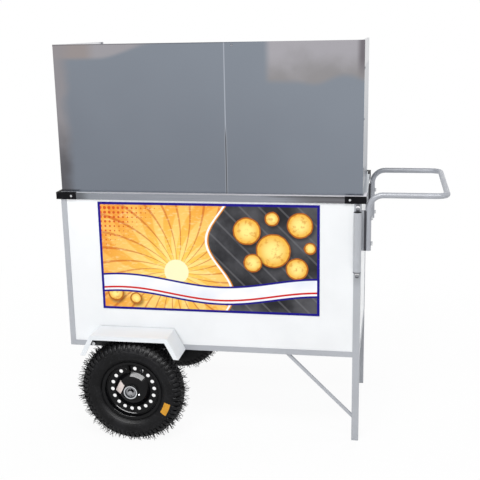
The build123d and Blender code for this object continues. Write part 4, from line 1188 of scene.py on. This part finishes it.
def add_floor():
    """A pale floor that keeps a soft shadow of the cart and fades to white."""
    build = bmesh.new()
    corners = ((-1, -1), (1, -1), (1, 1), (-1, 1))
    build.faces.new([build.verts.new((x * FLOOR_HALF, y * FLOOR_HALF, 0)) for x, y in corners])
    mesh = bpy.data.meshes.new("floor")
    build.to_mesh(mesh)
    build.free()
    floor = bpy.data.objects.new("floor", mesh)
    bpy.context.scene.collection.objects.link(floor)
    material = bpy.data.materials.new("floor_white")
    material.use_nodes = True
    g = Tree(material.node_tree)
    g.tree.nodes.remove(g.tree.nodes["Principled BSDF"])
    far = g.node("ShaderNodeVectorMath", {0: g.place()}, "Value", operation="LENGTH")
    white = FLOOR_WHITE + (1 - FLOOR_WHITE) * far.step(*FLOOR_FADE)
    matt = g.node("ShaderNodeBsdfDiffuse", {"Color": FLOOR_GREY})
    glow = g.node("ShaderNodeEmission", {})
    both = g.node("ShaderNodeMixShader", {0: seen_white(g) * white, 1: matt, 2: glow})
    g.plug(g.tree.nodes["Material Output"].inputs["Surface"], both)
    coat(floor, material)


def add_world():
    """A white studio: white to look at, and a plain even light on things."""
    world = bpy.data.worlds.new("studio")
    world.use_nodes = True
    g = Tree(world.node_tree)
    ground = g.tree.nodes["Background"]
    g.plug(ground.inputs["Color"], (1, 1, 1))
    g.plug(ground.inputs["Strength"], WORLD_LIGHT + (1 - WORLD_LIGHT) * seen_white(g))
    bpy.context.scene.world = world


def add_lamp(name, place, target, along, size, power, gloss_on=()):
    """A soft oblong lamp that faces a target, with its length along a direction.

    It lights matt surfaces. Where pieces are given, it shows in the gloss of those alone instead.
    """
    lamp = bpy.data.lights.new(name, "AREA")
    lamp.shape = "RECTANGLE"
    lamp.size, lamp.size_y = size
    lamp.energy = power
    holder = bpy.data.objects.new(name, lamp)
    holder.visible_diffuse = not gloss_on
    holder.visible_glossy = bool(gloss_on)
    if gloss_on:
        lit = bpy.data.collections.new(f"{name}_lit")
        for piece in gloss_on:
            lit.objects.link(piece)
        holder.light_linking.receiver_collection = lit
    back = (Vector(place) - Vector(target)).normalized()
    up = back.cross(Vector(along)).normalized()
    pose = Matrix((up.cross(back), up, back)).transposed().to_4x4()
    pose.translation = place
    holder.matrix_world = pose
    bpy.context.scene.collection.objects.link(holder)


def add_camera():
    """The photograph's own viewpoint."""
    turn = (
        Matrix.Rotation(math.radians(CAMERA_YAW), 3, "Z")
        @ Matrix.Rotation(math.radians(CAMERA_PITCH), 3, "X")
        @ Matrix.Rotation(math.radians(CAMERA_ROLL), 3, "Y")
    )
    right, ahead, up = turn.col
    pose = Matrix((right, up, -ahead)).transposed().to_4x4()
    pose.translation = CAMERA_PLACE
    lens = bpy.data.cameras.new("camera")
    lens.sensor_width = SENSOR_WIDTH
    lens.lens = FOCAL_PIXELS / IMAGE_PIXELS * SENSOR_WIDTH
    lens.clip_end = CAMERA_REACH
    holder = bpy.data.objects.new("camera", lens)
    holder.matrix_world = pose
    bpy.context.scene.collection.objects.link(holder)
    bpy.context.scene.camera = holder


add_floor()
add_world()
# Each lamp's name, place, target, direction of its length, size and power
add_lamp("overhead", (0.3, -2.3, 3.9), (-0.1, -0.1, 0.6), (1, 0, 0), (1.8, 1.0), 66)
add_lamp("front_fill", (-1.6, -4.2, 2.4), MIDDLE, (1, -0.4, 0), (2.0, 1.6), 68)
add_lamp("rear_fill", (1.2, 4.4, 2.0), MIDDLE, (1, 0, 0), (2.4, 1.6), 93)
add_lamp("left_fill", (-4.4, 0.4, 1.8), MIDDLE, (0, 1, 0), (2.0, 1.6), 56)
add_lamp("right_fill", (4.4, 0.4, 1.8), MIDDLE, (0, 1, 0), (2.0, 1.6), 42)
add_lamp("gloss_strip", (0.13, -2.21, 3.16), FRONT_HUB, STRIP_ALONG, (4.6, 0.8), 440, glossy_pieces)
add_camera()
bpy.context.scene.view_settings.view_transform = "Standard"
